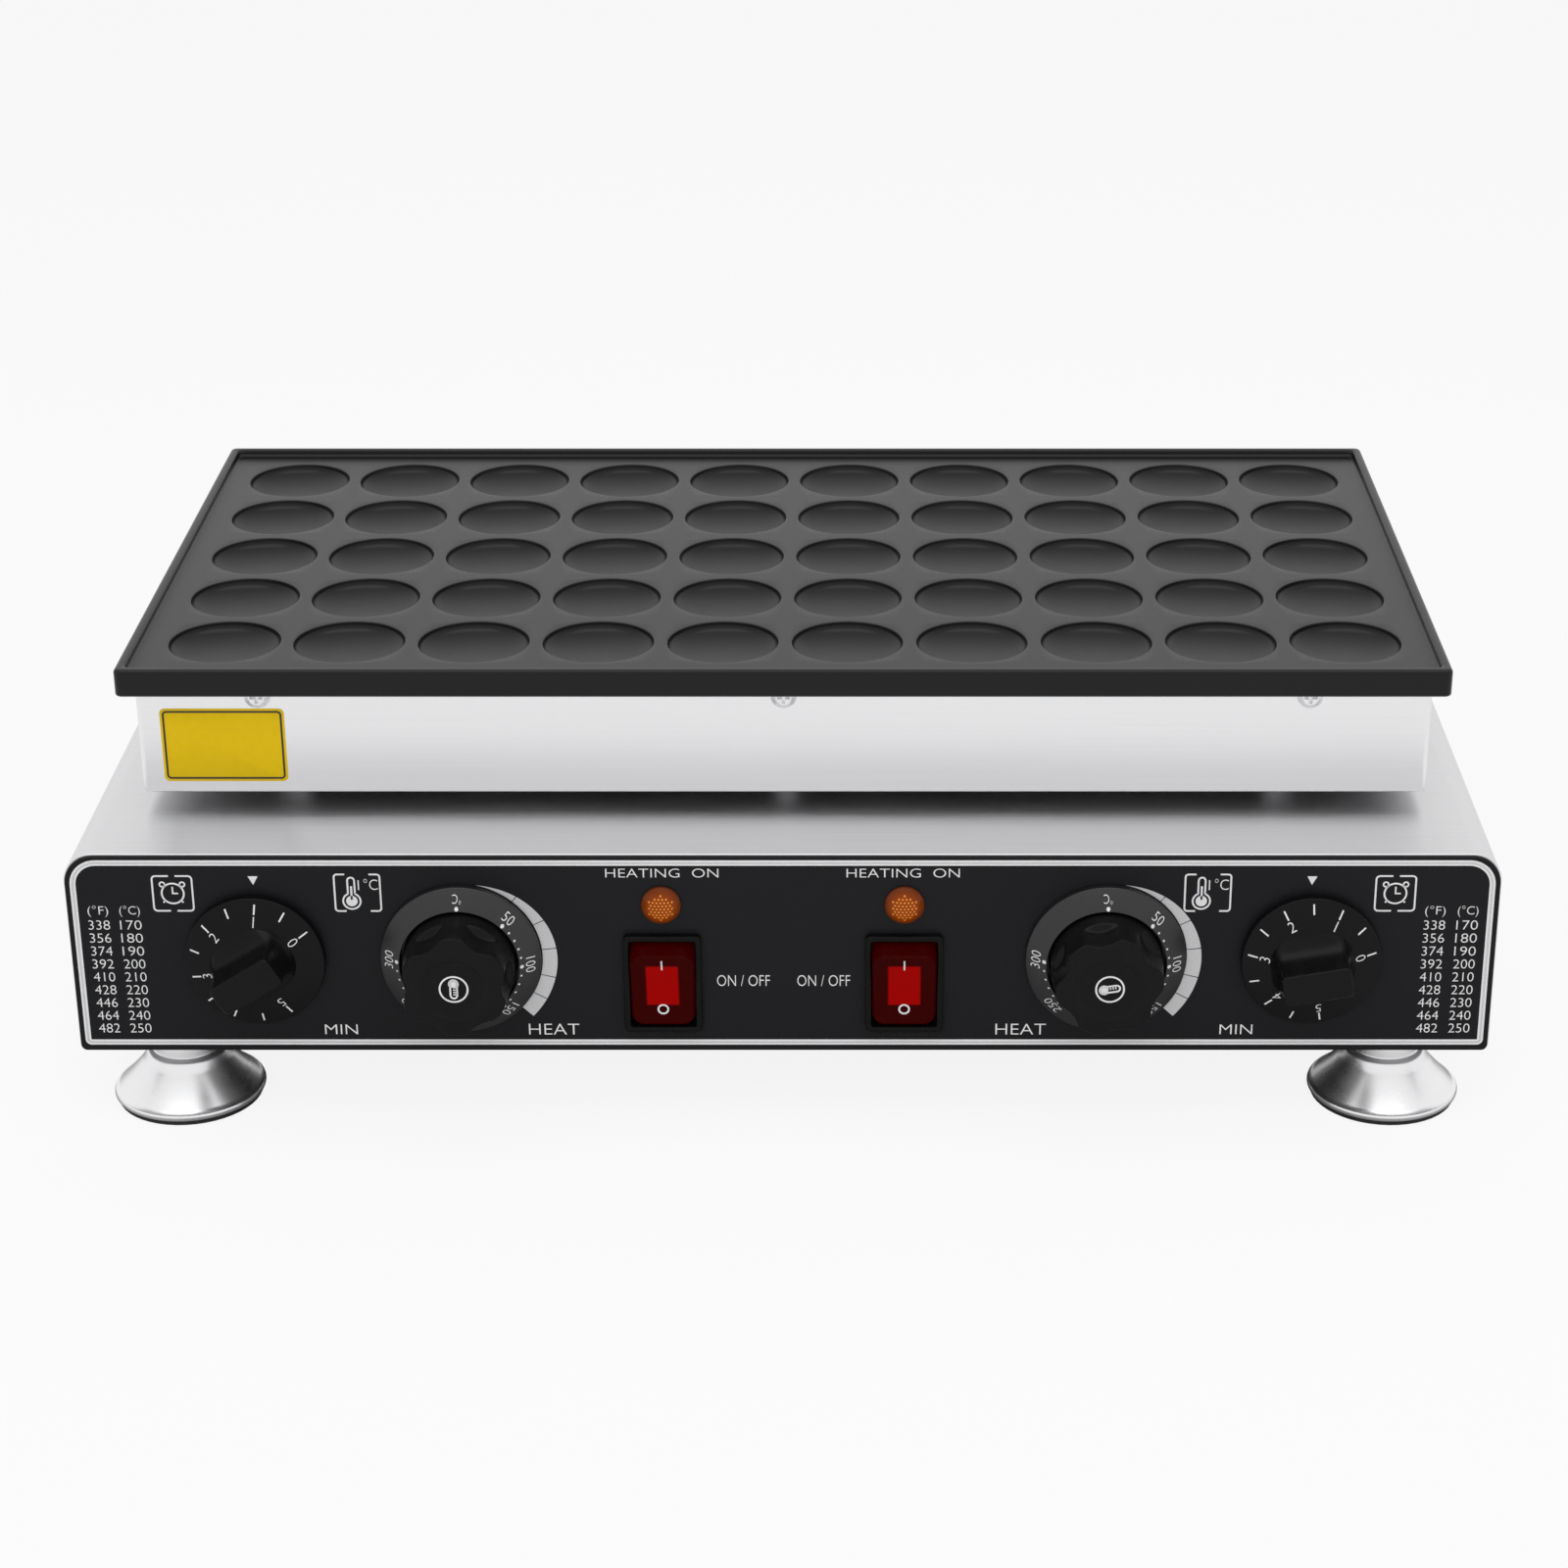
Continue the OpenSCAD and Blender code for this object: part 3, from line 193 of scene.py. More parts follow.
def ramp(tree, share, *stops):
    """The colour that a share stands for between two stops, each a position and a colour."""
    node = tree.nodes.new("ShaderNodeValToRGB")
    for element, (position, colour) in zip(node.color_ramp.elements, stops):
        element.position = position
        element.color = (*np.broadcast_to(colour, 3), 1.0)
    tree.links.new(share, node.inputs["Fac"])
    return node.outputs[0]


def finish(name, dark, light, rough, grain, bump=0.0, **constants):
    """A procedural finish: noise on Object coordinates, with grain cells per metre along X, Y and Z,
    blends two colours and two roughnesses and lifts the surface by up to bump millimetres. One number
    for a colour is a grey, and one for the grain counts along all three axes."""
    material = bpy.data.materials.new(name)
    material.use_nodes = True
    nodes, links = material.node_tree.nodes, material.node_tree.links
    shader = set_sockets(nodes["Principled BSDF"], **constants)
    place = nodes.new("ShaderNodeTexCoord")
    stretch = set_sockets(nodes.new("ShaderNodeMapping"), Scale=np.broadcast_to(grain, 3))
    links.new(place.outputs["Object"], stretch.inputs["Vector"])
    noise = set_sockets(nodes.new("ShaderNodeTexNoise"), Scale=1.0, Detail=4.0)
    links.new(stretch.outputs[0], noise.inputs["Vector"])
    low, high = 0.3, 0.7
    colour = ramp(material.node_tree, noise.outputs[0], (low, dark), (high, light))
    links.new(colour, shader.inputs["Base Color"])
    gloss = set_sockets(nodes.new("ShaderNodeMapRange"), From_Min=low, From_Max=high, To_Min=rough[0],
        To_Max=rough[1])
    links.new(noise.outputs[0], gloss.inputs["Value"])
    links.new(gloss.outputs[0], shader.inputs["Roughness"])
    if bump:
        lift = set_sockets(nodes.new("ShaderNodeBump"), Distance=bump * MM)
        links.new(noise.outputs[0], lift.inputs["Height"])
        links.new(lift.outputs[0], shader.inputs["Normal"])
    return material


def dress(material, slot):
    """Gives every CAD node of a record slot a finish in place of its plain one."""
    for subpart in frame["record"]["subparts"]:
        if subpart["material_slot"] == slot:
            frame["nodes"][subpart["node"]].material_slots[0].material = material


def arc(centre, radius, start, end, steps=8):
    """Points of a circle arc from one angle to another, in degrees."""
    angle = np.radians(np.linspace(start, end, steps + 1))
    return np.asarray(centre) + radius * np.stack([np.cos(angle), np.sin(angle)], 1)


def grid(points, around=False, loop=False, cap=False):
    """Points and faces of a surface given as rows and columns of points: every cell is one quad.
    around joins the last column to the first, loop the last row to the first, and cap closes the
    first and the last row with one face each."""
    rows, columns = points.shape[:2]
    index = np.arange(rows * columns).reshape(rows, columns)
    ends = [index[0].tolist(), index[-1].tolist()] if cap else []
    if around:
        index = np.hstack([index, index[:, :1]])
    if loop:
        index = np.vstack([index, index[:1]])
    quads = np.stack([index[:-1, :-1], index[:-1, 1:], index[1:, 1:], index[1:, :-1]], -1)
    return points.reshape(-1, 3), quads.reshape(-1, 4).tolist() + ends


def make_piece(name, patches, material, body, stands_for=(), crease=40.0):
    """Joins patches of points and faces into one object that rides on a body. Doubled points are
    merged, faces turned outwards, and only edges that bend more than crease degrees stay sharp."""
    starts = np.cumsum([0] + [len(points) for points, faces in patches])
    points = np.vstack([points for points, faces in patches]) * MM
    faces = [[start + corner for corner in face]
        for start, (_, patch_faces) in zip(starts, patches) for face in patch_faces]
    mesh = bpy.data.meshes.new(name)
    mesh.from_pydata(points, [], faces)
    shape = bmesh.new()
    shape.from_mesh(mesh)
    bmesh.ops.remove_doubles(shape, verts=shape.verts, dist=1e-7)
    bmesh.ops.recalc_face_normals(shape, faces=shape.faces)
    shape.to_mesh(mesh)
    shape.free()
    mesh.polygons.foreach_set("use_smooth", np.ones(len(mesh.polygons), bool))
    mesh.set_sharp_from_angle(angle=math.radians(crease))
    mesh.materials.append(material)
    piece = bpy.data.objects.new(name, mesh)
    bpy.context.scene.collection.objects.link(piece)
    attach(piece, body)
    if stands_for:
        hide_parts(*stands_for)
    return piece


brushed_steel = finish("brushed_steel", (0.66, 0.66, 0.67), (0.72, 0.72, 0.73), (0.32, 0.4),
    (14.0, 1500.0, 1500.0), 0.001, Metallic=1.0)
bright_zinc = finish("bright_zinc", (0.74, 0.74, 0.75), (0.86, 0.86, 0.87), (0.2, 0.34),
    300.0, 0.01, Metallic=1.0)
dress(brushed_steel, "steel_sheet")
dress(bright_zinc, "zinc_steel")

shell_low, shell_high = corners("base_shell")
sheet_t = 1.2
bend_r = 12.0
bottom_bend_r = 3.0
flange_w = 12.0
burr = 0.3


def hood_line(inset):
    """The hood seen from the front, from one flange's edge round to the other: straight runs and
    quarter-circle bends, drawn inside the outline by inset."""
    half = shell_high[0] - inset
    low, high = shell_low[2] + inset, shell_high[2] - inset
    top, foot = bend_r - inset, bottom_bend_r - inset
    edge = shell_high[0] - flange_w
    return np.vstack([[(-edge, low)], arc((foot - half, low + foot), foot, 270, 180, 6),
        arc((top - half, high - top), top, 180, 90, 14), arc((half - top, high - top), top, 90, 0, 14),
        arc((half - foot, low + foot), foot, 0, -90, 6), [(edge, low)]])


outer_line, inner_line = hood_line(0.0), hood_line(sheet_t)
burr_share = burr / sheet_t
wall_section = ((0.0, shell_low[1] + burr), (0.0, shell_high[1]), (1.0, shell_high[1]),
    (1.0, shell_low[1] + burr), (1.0 - burr_share, shell_low[1]), (burr_share, shell_low[1]))
hood = np.stack([np.insert(outer_line + deep * (inner_line - outer_line), 1, y, axis=1)
    for deep, y in wall_section], 1)
make_piece("base_hood", [grid(hood, around=True, cap=True)], brushed_steel, "chassis",
    ["base_shell"])

# Feet: four spun steel cones with a rolled rim, satin chrome plated, on rubber pads
# Each cone is held by a bolt up through its collar and a nut on the floor of the base.


def turned(profile, steps=96):
    """A lathe shape: each profile point, a radius and a height, runs round the axis in a circle."""
    angle = np.linspace(0.0, 2 * math.pi, steps, endpoint=False)
    radius, height = np.asarray(profile, float).T
    return np.stack([np.outer(radius, np.cos(angle)), np.outer(radius, np.sin(angle)),
        np.repeat(height[:, None], steps, 1)], -1)


chrome = finish("satin_chrome", (0.82, 0.82, 0.83), (0.86, 0.86, 0.87), (0.26, 0.31),
    (60.0, 60.0, 260.0), 0.0, Metallic=1.0)
dress(finish("foot_rubber", 0.012, 0.03, (0.6, 0.8), 500.0, 0.06), "foot_rubber")
dress(chrome, "foot_chrome")

foot_low, foot_high = corners("foot_front_left")
collar_top = foot_high[2]
rim_r = 1.8
cone_low_r = half_size("foot_front_left")[0] - rim_r
rim_z = foot_low[2] + rim_r
collar_r = 13.5
collar_edge_r = 0.6
collar_foot = 3.0
collar_foot_r = 0.8
shoulder_r = 16.5
shoulder_z = 19.0
shoulder_rise = 0.6
shoulder_bend_r = 1.6
flank_bow = 0.7
flank_foot = (0.9, 1.2)
cone_t = 2.4
hollow_foot = (-3.4, 2.0)
foot_bore_r = 4.3
rim_centre = np.array([cone_low_r, rim_z])
sweep = np.linspace(0.0, 1.0, 12)[:, None]
flank_top = np.array([shoulder_r, shoulder_z])
cone_flank = flank_top + sweep * (rim_centre + flank_foot - flank_top)
cone_flank[:, 0] -= flank_bow * np.sin(math.pi * sweep[:, 0])
foot_profile = np.vstack([[(foot_bore_r, collar_top), (collar_r - collar_edge_r, collar_top)],
    arc((collar_r - collar_edge_r, collar_top - collar_edge_r), collar_edge_r, 90, 0, 4),
    arc((collar_r + collar_foot_r, shoulder_z + collar_foot), collar_foot_r, 180, 270, 5),
    arc((shoulder_r - shoulder_bend_r, shoulder_z + shoulder_rise), shoulder_bend_r, 90, 20, 5),
    cone_flank[1:], arc(rim_centre, rim_r, 40, -180, 14), [rim_centre + hollow_foot],
    [(shoulder_r - cone_t, shoulder_z - cone_t), (foot_bore_r, shoulder_z - cone_t)]])
for foot in ("foot_front_left", "foot_front_right", "foot_rear_left", "foot_rear_right"):
    foot_place = middle(foot) * (1.0, 1.0, 0.0)
    make_piece(f"{foot}_chrome", [grid(turned(foot_profile) + foot_place, around=True, loop=True)],
        chrome, "chassis", [foot])

# Control panel: a black printed sheet in front of the hood
# Lettering, pictures and the temperature fans are screen printed in white and silver ink, with a
# silver line round the edge.

dress(finish("panel_black", (0.0095, 0.0095, 0.011), (0.011, 0.011, 0.013), (0.42, 0.5), 700.0, 0.003,
    Specular_IOR_Level=0.13), "panel_black")
white_ink = finish("white_ink", 0.90, 0.95, (0.5, 0.6), 900.0, 0.004)
silver_ink = finish("silver_ink", (0.60, 0.60, 0.61), (0.70, 0.70, 0.71), (0.4, 0.5),
    1500.0, 0.006, Metallic=0.35)
ink_t = 0.06


def on_panel(patch, x, z, face_y=front_y):
    """Stands a patch, drawn right, up and out, on the panel's face, or on another one, at a point."""
    points, faces = patch
    return np.stack([x + points[:, 0], face_y - points[:, 2], z + points[:, 1]], 1), faces


def turn(patch, clockwise):
    """Turns a patch about its own axis, clockwise as seen from the front, in degrees."""
    points, faces = patch
    angle = math.radians(-clockwise)
    across = points[:, 0] * math.cos(angle) - points[:, 1] * math.sin(angle)
    upright = points[:, 0] * math.sin(angle) + points[:, 1] * math.cos(angle)
    return np.stack([across, upright, points[:, 2]], 1), faces


def shift(patch, across, up, out=0.0):
    """Moves a patch right, up and out."""
    points, faces = patch
    return points + (across, up, out), faces


def lettering(words, height, width=None):
    """Printed words about their middle: the font's filled outlines, drawn a little thinner, scaled to
    a height and a width and given the ink's thickness."""
    curve = bpy.data.curves.new("lettering", "FONT")
    curve.body = words
    curve.extrude = 0.01
    curve.offset = -0.012
    curve.resolution_u = 4
    holder = bpy.data.objects.new("lettering", curve)
    bpy.context.scene.collection.objects.link(holder)
    shapes = bpy.context.evaluated_depsgraph_get()
    mesh = bpy.data.meshes.new_from_object(holder.evaluated_get(shapes))
    points = np.array([vertex.co for vertex in mesh.vertices])
    faces = [list(face.vertices) for face in mesh.polygons]
    bpy.data.objects.remove(holder)
    bpy.data.meshes.remove(mesh)
    bpy.data.curves.remove(curve)
    low, high = points.min(0), points.max(0)
    size = high - low
    scale_up = height / size[1]
    scale_across = width / size[0] if width else scale_up
    print_points = (points - (low + high) / 2) * (scale_across, scale_up, 0.0)
    print_points[:, 2] = np.where(points[:, 2] > 0, ink_t, 0.0)
    return print_points, faces


def strip(left, right, thick, closed=False):
    """A flat strip of a thickness between two edges."""
    section = np.stack([np.insert(edge, 2, out, axis=1)
        for edge, out in ((left, 0.0), (left, thick), (right, thick), (right, 0.0))], 1)
    return grid(section, around=True, loop=closed, cap=not closed)


def stroke(path, width, closed=False, thick=ink_t):
    """A printed line: a flat strip of even width carried along a path, mitred at its corners."""
    path = np.asarray(path, float)
    ahead = np.diff(np.vstack([path, path[:1]]) if closed else path, axis=0)
    ahead = ahead / np.linalg.norm(ahead, axis=1, keepdims=True)
    behind = np.roll(ahead, 1, axis=0) if closed else np.vstack([ahead[:1], ahead])
    ahead = ahead if closed else np.vstack([ahead, ahead[-1:]])
    left_ahead = np.stack([-ahead[:, 1], ahead[:, 0]], 1)
    left_behind = np.stack([-behind[:, 1], behind[:, 0]], 1)
    mitre = (left_ahead + left_behind) / (1 + (left_ahead * left_behind).sum(1, keepdims=True))
    return strip(path + mitre * width / 2, path - mitre * width / 2, thick, closed)


def dot(across, up, radius, thick=ink_t):
    """A printed round dot."""
    return shift(grid(turned([(0, 0), (radius, 0), (radius, thick), (0, thick)], 24), around=True),
        across, up)


def ring(radius, width, centre=(0.0, 0.0)):
    """A printed circle."""
    return stroke(arc(centre, radius, 0, 360, 40)[:-1], width, closed=True)


line_bold = 0.7


def bracket_frame(half_x, half_y, corner, gap):
    """Two printed square brackets with round corners, facing each other across a gap."""
    left = np.vstack([[(-gap / 2, half_y)], arc((corner - half_x, half_y - corner), corner, 90, 180, 5),
        arc((corner - half_x, corner - half_y), corner, 180, 270, 5), [(-gap / 2, -half_y)]])
    return [stroke(left, line_bold), stroke(left * (-1.0, 1.0), line_bold)]


def clock_picture():
    """An alarm clock between brackets: a ring, two hands, two bells and two feet."""
    legs = [stroke([r * np.array([math.cos(a), math.sin(a)]) for r in (4.3, 5.5)], line_bold)
        for a in np.radians([225, 315])]
    bells = [ring(1.0, 0.6, 5.5 * np.array([math.cos(a), math.sin(a)])) for a in np.radians([45, 135])]
    hands = stroke([(0.0, 2.9), (0.0, 0.0), (2.1, 0.0)], 0.6)
    return bracket_frame(7.75, 7.5, 1.4, 2.6) + [ring(4.3, line_bold), hands] + legs + bells


def thermometer_picture():
    """A thermometer with its bulb and mercury, and a degree sign, between brackets."""
    stem = np.vstack([[(-1.35, -0.5)], arc((0.0, 5.2), 1.35, 180, 0, 8), [(1.35, -0.5)]])
    bulb = arc((0.0, -3.6), 3.4, 113, 427, 24)
    tube = [stroke(stem, line_bold), stroke(bulb, line_bold), dot(0.0, -3.6, 2.25),
        stroke([(0.0, -3.0), (0.0, 2.8)], 0.8), stroke([(2.9, 1.2), (2.9, 5.4)], 0.5)]
    sign = shift(lettering("°C", 4.7, 5.4), 5.3, 3.6)
    return bracket_frame(8.9, 7.9, 1.2, 9.4) + [shift(part, -2.4, 0.0) for part in tube] + [sign]


base_z = shell_low[2]
timer_x = middle("right_timer_dial")[0]
thermostat_x, _, dial_z = middle("right_scale_ring")
switch_x, _, switch_z = middle("right_switch_housing")

pointer_x = 206.0
pointer_w = 3.9
pointer_low = 73.4
pointer_h = 3.7
clock_z = 69.7
thermometer_x = 165.6
thermometer_z = 70.0
heating_x = 46.9
power_x = 15.8
coldest = 170
degree_rows = 9
degree_head_z = 61.9
first_row_z = 56.0
row_pitch = 5.69
words = []
for side, clock_x, minutes_x, heat_x, columns in (
        (-1, -237.6, -175.6, -91.2, (-267.5, -255.1)), (1, 238.7, 179.2, 93.8, (254.8, 267.6))):
    points, faces = stroke([(0.0, pointer_low + pointer_h), (0.0, pointer_low)], pointer_w)
    points[:, 0] *= (points[:, 1] - pointer_low) / pointer_h
    words.append(on_panel((points, faces), side * pointer_x, base_z))
    words += [on_panel(part, clock_x, base_z + clock_z) for part in clock_picture()]
    words += [on_panel(part, side * thermometer_x, base_z + thermometer_z)
        for part in thermometer_picture()]
    captions = [("HEATING  ON", 3.8, 44.0, side * heating_x, 78.5),
        ("ON / OFF", 4.8, 20.8, side * power_x, 31.6),
        ("MIN", 4.3, 13.0, minutes_x, 9.9),
        ("HEAT", 4.8, 20.0, heat_x, 10.0)]
    captions += [(f"(°{unit})", 4.9, 8.0, x, degree_head_z) for x, unit in zip(columns, "FC")]
    for line in range(degree_rows):
        celsius = coldest + 10 * line
        fahrenheit = round(celsius * 1.8 + 32)
        captions += [(str(value), 4.0, 8.4, x, first_row_z - row_pitch * line)
            for x, value in zip(columns, (fahrenheit, celsius))]
    words += [on_panel(lettering(text, height, width), x, base_z + z)
        for text, height, width, x, z in captions]
make_piece("panel_lettering", words, white_ink, "chassis")

line_inset = 3.1
line_w = 2.3
line_half = half_size("control_panel")[0] - line_inset
line_low = base_z + 4.2
line_high = base_z + 82.8
line_top_r = 9.5
line_foot_r = 1.2
edge_line = np.vstack([
    arc((line_foot_r - line_half, line_low + line_foot_r), line_foot_r, 180, 270, 4),
    arc((line_half - line_foot_r, line_low + line_foot_r), line_foot_r, 270, 360, 4),
    arc((line_half - line_top_r, line_high - line_top_r), line_top_r, 0, 90, 12),
    arc((line_top_r - line_half, line_high - line_top_r), line_top_r, 90, 180, 12)])
make_piece("panel_edge_line", [on_panel(stroke(edge_line, line_w, closed=True), 0.0, 0.0)], white_ink,
    "chassis")
silver = [on_panel(stroke(edge_line, line_w / 3, closed=True, thick=2 * ink_t), 0.0, 0.0)]

fan_r = 32.0
fan_w = 5.8
fan_cuts = (12.7, 40.7, 64.0, 84.1, 103.8, 119.2, 133.9)
fan_gap = 0.35
fan_start = 12.0
fan_swell = 85.0


def fan_width(angle):
    """The fan swells from a point at its start to its full width, as a quarter of a sine wave to the
    power of 1.2."""
    return fan_w * np.sin(np.minimum(1.0, (angle - fan_start) / fan_swell) * math.pi / 2) ** 1.2


trim = math.degrees(fan_gap / 2 / (fan_r + fan_w / 2))
for side in (-1, 1):
    for start, end in zip(fan_cuts[:-1], fan_cuts[1:]):
        angle = np.linspace(start + trim, end - trim, 14)
        heading = np.stack([np.sin(np.radians(angle)), np.cos(np.radians(angle))], 1)
        fan = strip(heading * fan_r, heading * (fan_r + fan_width(angle))[:, None], ink_t)
        silver.append(on_panel(fan, side * thermostat_x, dial_z))
make_piece("panel_silver_print", silver, silver_ink, "chassis")

# Timers: two round black dials on the shafts of mechanical timers
# Each is moulded in one piece with a bar grip that points at its zero mark; minutes are printed on
# its face, and its body stands behind the panel.

dial_black = finish("dial_black", 0.0035, 0.005, (0.26, 0.34), 900.0, 0.003, Specular_IOR_Level=0.13)
dress(dial_black, "dial_black")
dress(finish("phenolic", (0.46, 0.41, 0.33), (0.58, 0.53, 0.45), (0.5, 0.65), 250.0, 0.02), "phenolic")


def rounded_loop(half_x, half_y, radius, run_x=6, run_y=6, bend=5):
    """A rectangle with round corners as a closed loop that starts in the middle of its lower left
    corner: each side has half a bend, a straight run of so many steps and half a bend."""
    def side(start_centre, end_centre, heading, run):
        turn_in = arc(start_centre, radius, heading - 45, heading, bend)
        turn_out = arc(end_centre, radius, heading, heading + 45, bend)
        straight = np.linspace(turn_in[-1], turn_out[0], run, endpoint=False)
        return np.vstack([turn_in[:-1], straight, turn_out[:-1]])
    x, y = half_x - radius, half_y - radius
    half = np.vstack([side((-x, -y), (x, -y), 270, run_x), side((x, -y), (x, y), 360, run_y)])
    return np.vstack([half, -half])


dial_r = half_size("right_timer_dial")[0]
dial_back = 1.0
dial_edge = 4.5
dial_edge_r = 0.7
dial_face = 8.5
dial_flat_r = 16.5
dial_bore_r = 6.5
dial_hollow_r = 22.0
dial_web = 4.4
dial_back_r = 0.5
tick_from = 21.6
tick_to = 25.4
tick_w = 0.65
figure_r = 18.9
figure_h = 4.0
half_minute = 27.0
grip_out = front_y - corners("right_timer_dial")[0][1]
grip_root = 0.5
grip_edge_r = 0.7
grip_half = np.array([6.25, 13.5])
grip_foot_half = np.array([14.0, 16.5])
grip_corner_r = 2.0
grip_foot_corner_r = 12.0
grip_swing = 3.0


def dial_height(radius):
    """The dial's face over the panel: a cone that rises from the rounded edge to the grip's foot."""
    return np.interp(radius, (dial_flat_r, dial_r - dial_edge_r), (dial_face, dial_edge))


def lay(patch, height):
    """Lays a flat print on a round face: every point rises by the face's height at its radius."""
    points, faces = patch
    rise = height(np.hypot(points[:, 0], points[:, 1]))
    return np.stack([points[:, 0], points[:, 1], points[:, 2] + rise], 1), faces


def quarter(radius, steps):
    """A quarter round in even steps: each point's distances in from the two flats that it joins."""
    angle = np.radians(np.linspace(0, 90, steps))
    return list(zip(radius * (1 - np.sin(angle)), radius * (1 - np.cos(angle))))


def grip_rows():
    """The bar grip as rising loops: the flare of its foot dies away as e to the power of minus the
    height over the dial divided by the swing, and its front edge is rounded."""
    height = (grip_out - grip_edge_r - dial_face) * np.linspace(0.0, 1.0, 18) ** 1.7
    flare = np.exp(-height / grip_swing)
    halves = grip_half + flare[:, None] * (grip_foot_half - grip_half)
    corner = grip_corner_r + flare ** 1.5 * (grip_foot_corner_r - grip_corner_r)
    rows = [(grip_foot_half, grip_foot_corner_r, dial_face - grip_root)]
    rows += [(half, r, dial_face + h) for half, r, h in zip(halves, corner, height)]
    rows += [(grip_half - inset, grip_corner_r, grip_out - drop)
        for drop, inset in quarter(grip_edge_r, 4)[1:]]
    return np.stack([np.insert(rounded_loop(*half, r), 2, out, axis=1) for half, r, out in rows])


dial_profile = np.vstack([[(0.0, dial_back), (dial_bore_r, dial_back), (dial_bore_r, dial_web),
    (dial_hollow_r, dial_web), (dial_hollow_r, dial_back)],
    arc((dial_r - dial_back_r, dial_back + dial_back_r), dial_back_r, 270, 360, 3),
    arc((dial_r - dial_edge_r, dial_edge - dial_edge_r), dial_edge_r, 0, 90, 5),
    [(dial_flat_r, dial_face), (0.0, dial_face)]])
for side, name, rest_turn in ((-1, "left", 58.0), (1, "right", 80.0)):
    dial = [grid(turned(dial_profile), around=True), grid(grip_rows(), around=True, cap=True)]
    make_piece(f"{name}_timer_dial_moulding",
        [on_panel(turn(part, rest_turn), side * timer_x, dial_z) for part in dial], dial_black,
        f"{name}_timer_dial", [f"{name}_timer_dial"])
    marks = []
    for step in range(11):
        tick = stroke([(0.0, tick_from), (0.0, tick_to)], tick_w)
        marks.append(turn(lay(tick, dial_height), -half_minute * step))
        if step % 2 == 0:
            figure = shift(lettering(str(step // 2), figure_h), 0.0, figure_r)
            marks.append(turn(lay(figure, dial_height), -half_minute * step))
    make_piece(f"{name}_timer_figures",
        [on_panel(turn(part, rest_turn), side * timer_x, dial_z) for part in marks], white_ink,
        f"{name}_timer_dial")

# Thermostats: two lobed black knobs, each in a fixed scale ring
# The knob is moulded with six finger hollows round its front half and a dished front with a printed
# cap; the ring is screwed to the panel and carries the temperature scale.

knob_black = finish("knob_black", 0.004, 0.006, (0.28, 0.35), 900.0, 0.003, Specular_IOR_Level=0.12)
dress(knob_black, "knob_black")
ring_black = finish("ring_black", 0.008, 0.011, (0.34, 0.42), 900.0, 0.003, Specular_IOR_Level=0.55)

ring_r = half_size("right_scale_ring")[0]
ring_bore_r = 23.3
ring_hole_r = 6.0
ring_edge = 3.0
ring_edge_r = 0.6
ring_inner = 8.0
ring_inner_r = 0.3
web_t = 1.2
knob_r = 22.5
knob_bore_r = 6.5
knob_hollow_r = 17.5
knob_web = 8.0
knob_back = 2.0
knob_flange = 6.0
knob_out = front_y - corners("right_thermostat_knob")[0][1]
knob_chamfer = 0.1
knob_lobes = 6
flange_step = 0.3
lobe_r = knob_r - flange_step
hollow_r = 14.0
hollow_depth = 3.0
hollow_from = 15.0
hollow_end = 2.4
lobe_taper = 1.2
knob_dome = 2.3
knob_flat_r = 14.0
dish_r = 10.8
dish_inner_r = 6.0
dish_w = 3.0
dish_depth = 1.3

ring_profile = np.vstack([[(ring_hole_r, 0.0), (ring_r, 0.0), (ring_r, ring_edge - ring_edge_r)],
    arc((ring_r - ring_edge_r, ring_edge - ring_edge_r), ring_edge_r, 0, 60, 4),
    arc((ring_bore_r + ring_inner_r, ring_inner - ring_inner_r), ring_inner_r, 60, 180, 5),
    [(ring_bore_r, web_t), (ring_hole_r, web_t)]])
ring_face = ring_profile[[8, 7]]


def ring_height(radius):
    """The scale ring's face over the panel: a cone that rises inwards between two rounded edges."""
    return np.interp(radius, ring_face[:, 0], ring_face[:, 1])


def lobed(angle):
    """Radius of the knob's outline: the smaller of its round and of the nearest hollow's circle,
    blended softly where they meet."""
    pitch = 2 * math.pi / knob_lobes
    away = (angle % pitch) - pitch / 2
    centre = knob_r - hollow_depth + hollow_r
    inside = np.maximum(hollow_r ** 2 - (centre * np.sin(away)) ** 2, 0.0)
    hollow = np.where(inside > 0, centre * np.cos(away) - np.sqrt(inside), 2 * knob_r)
    softness = 1.6
    return -np.log(np.exp(-softness * lobe_r) + np.exp(-softness * hollow)) / softness


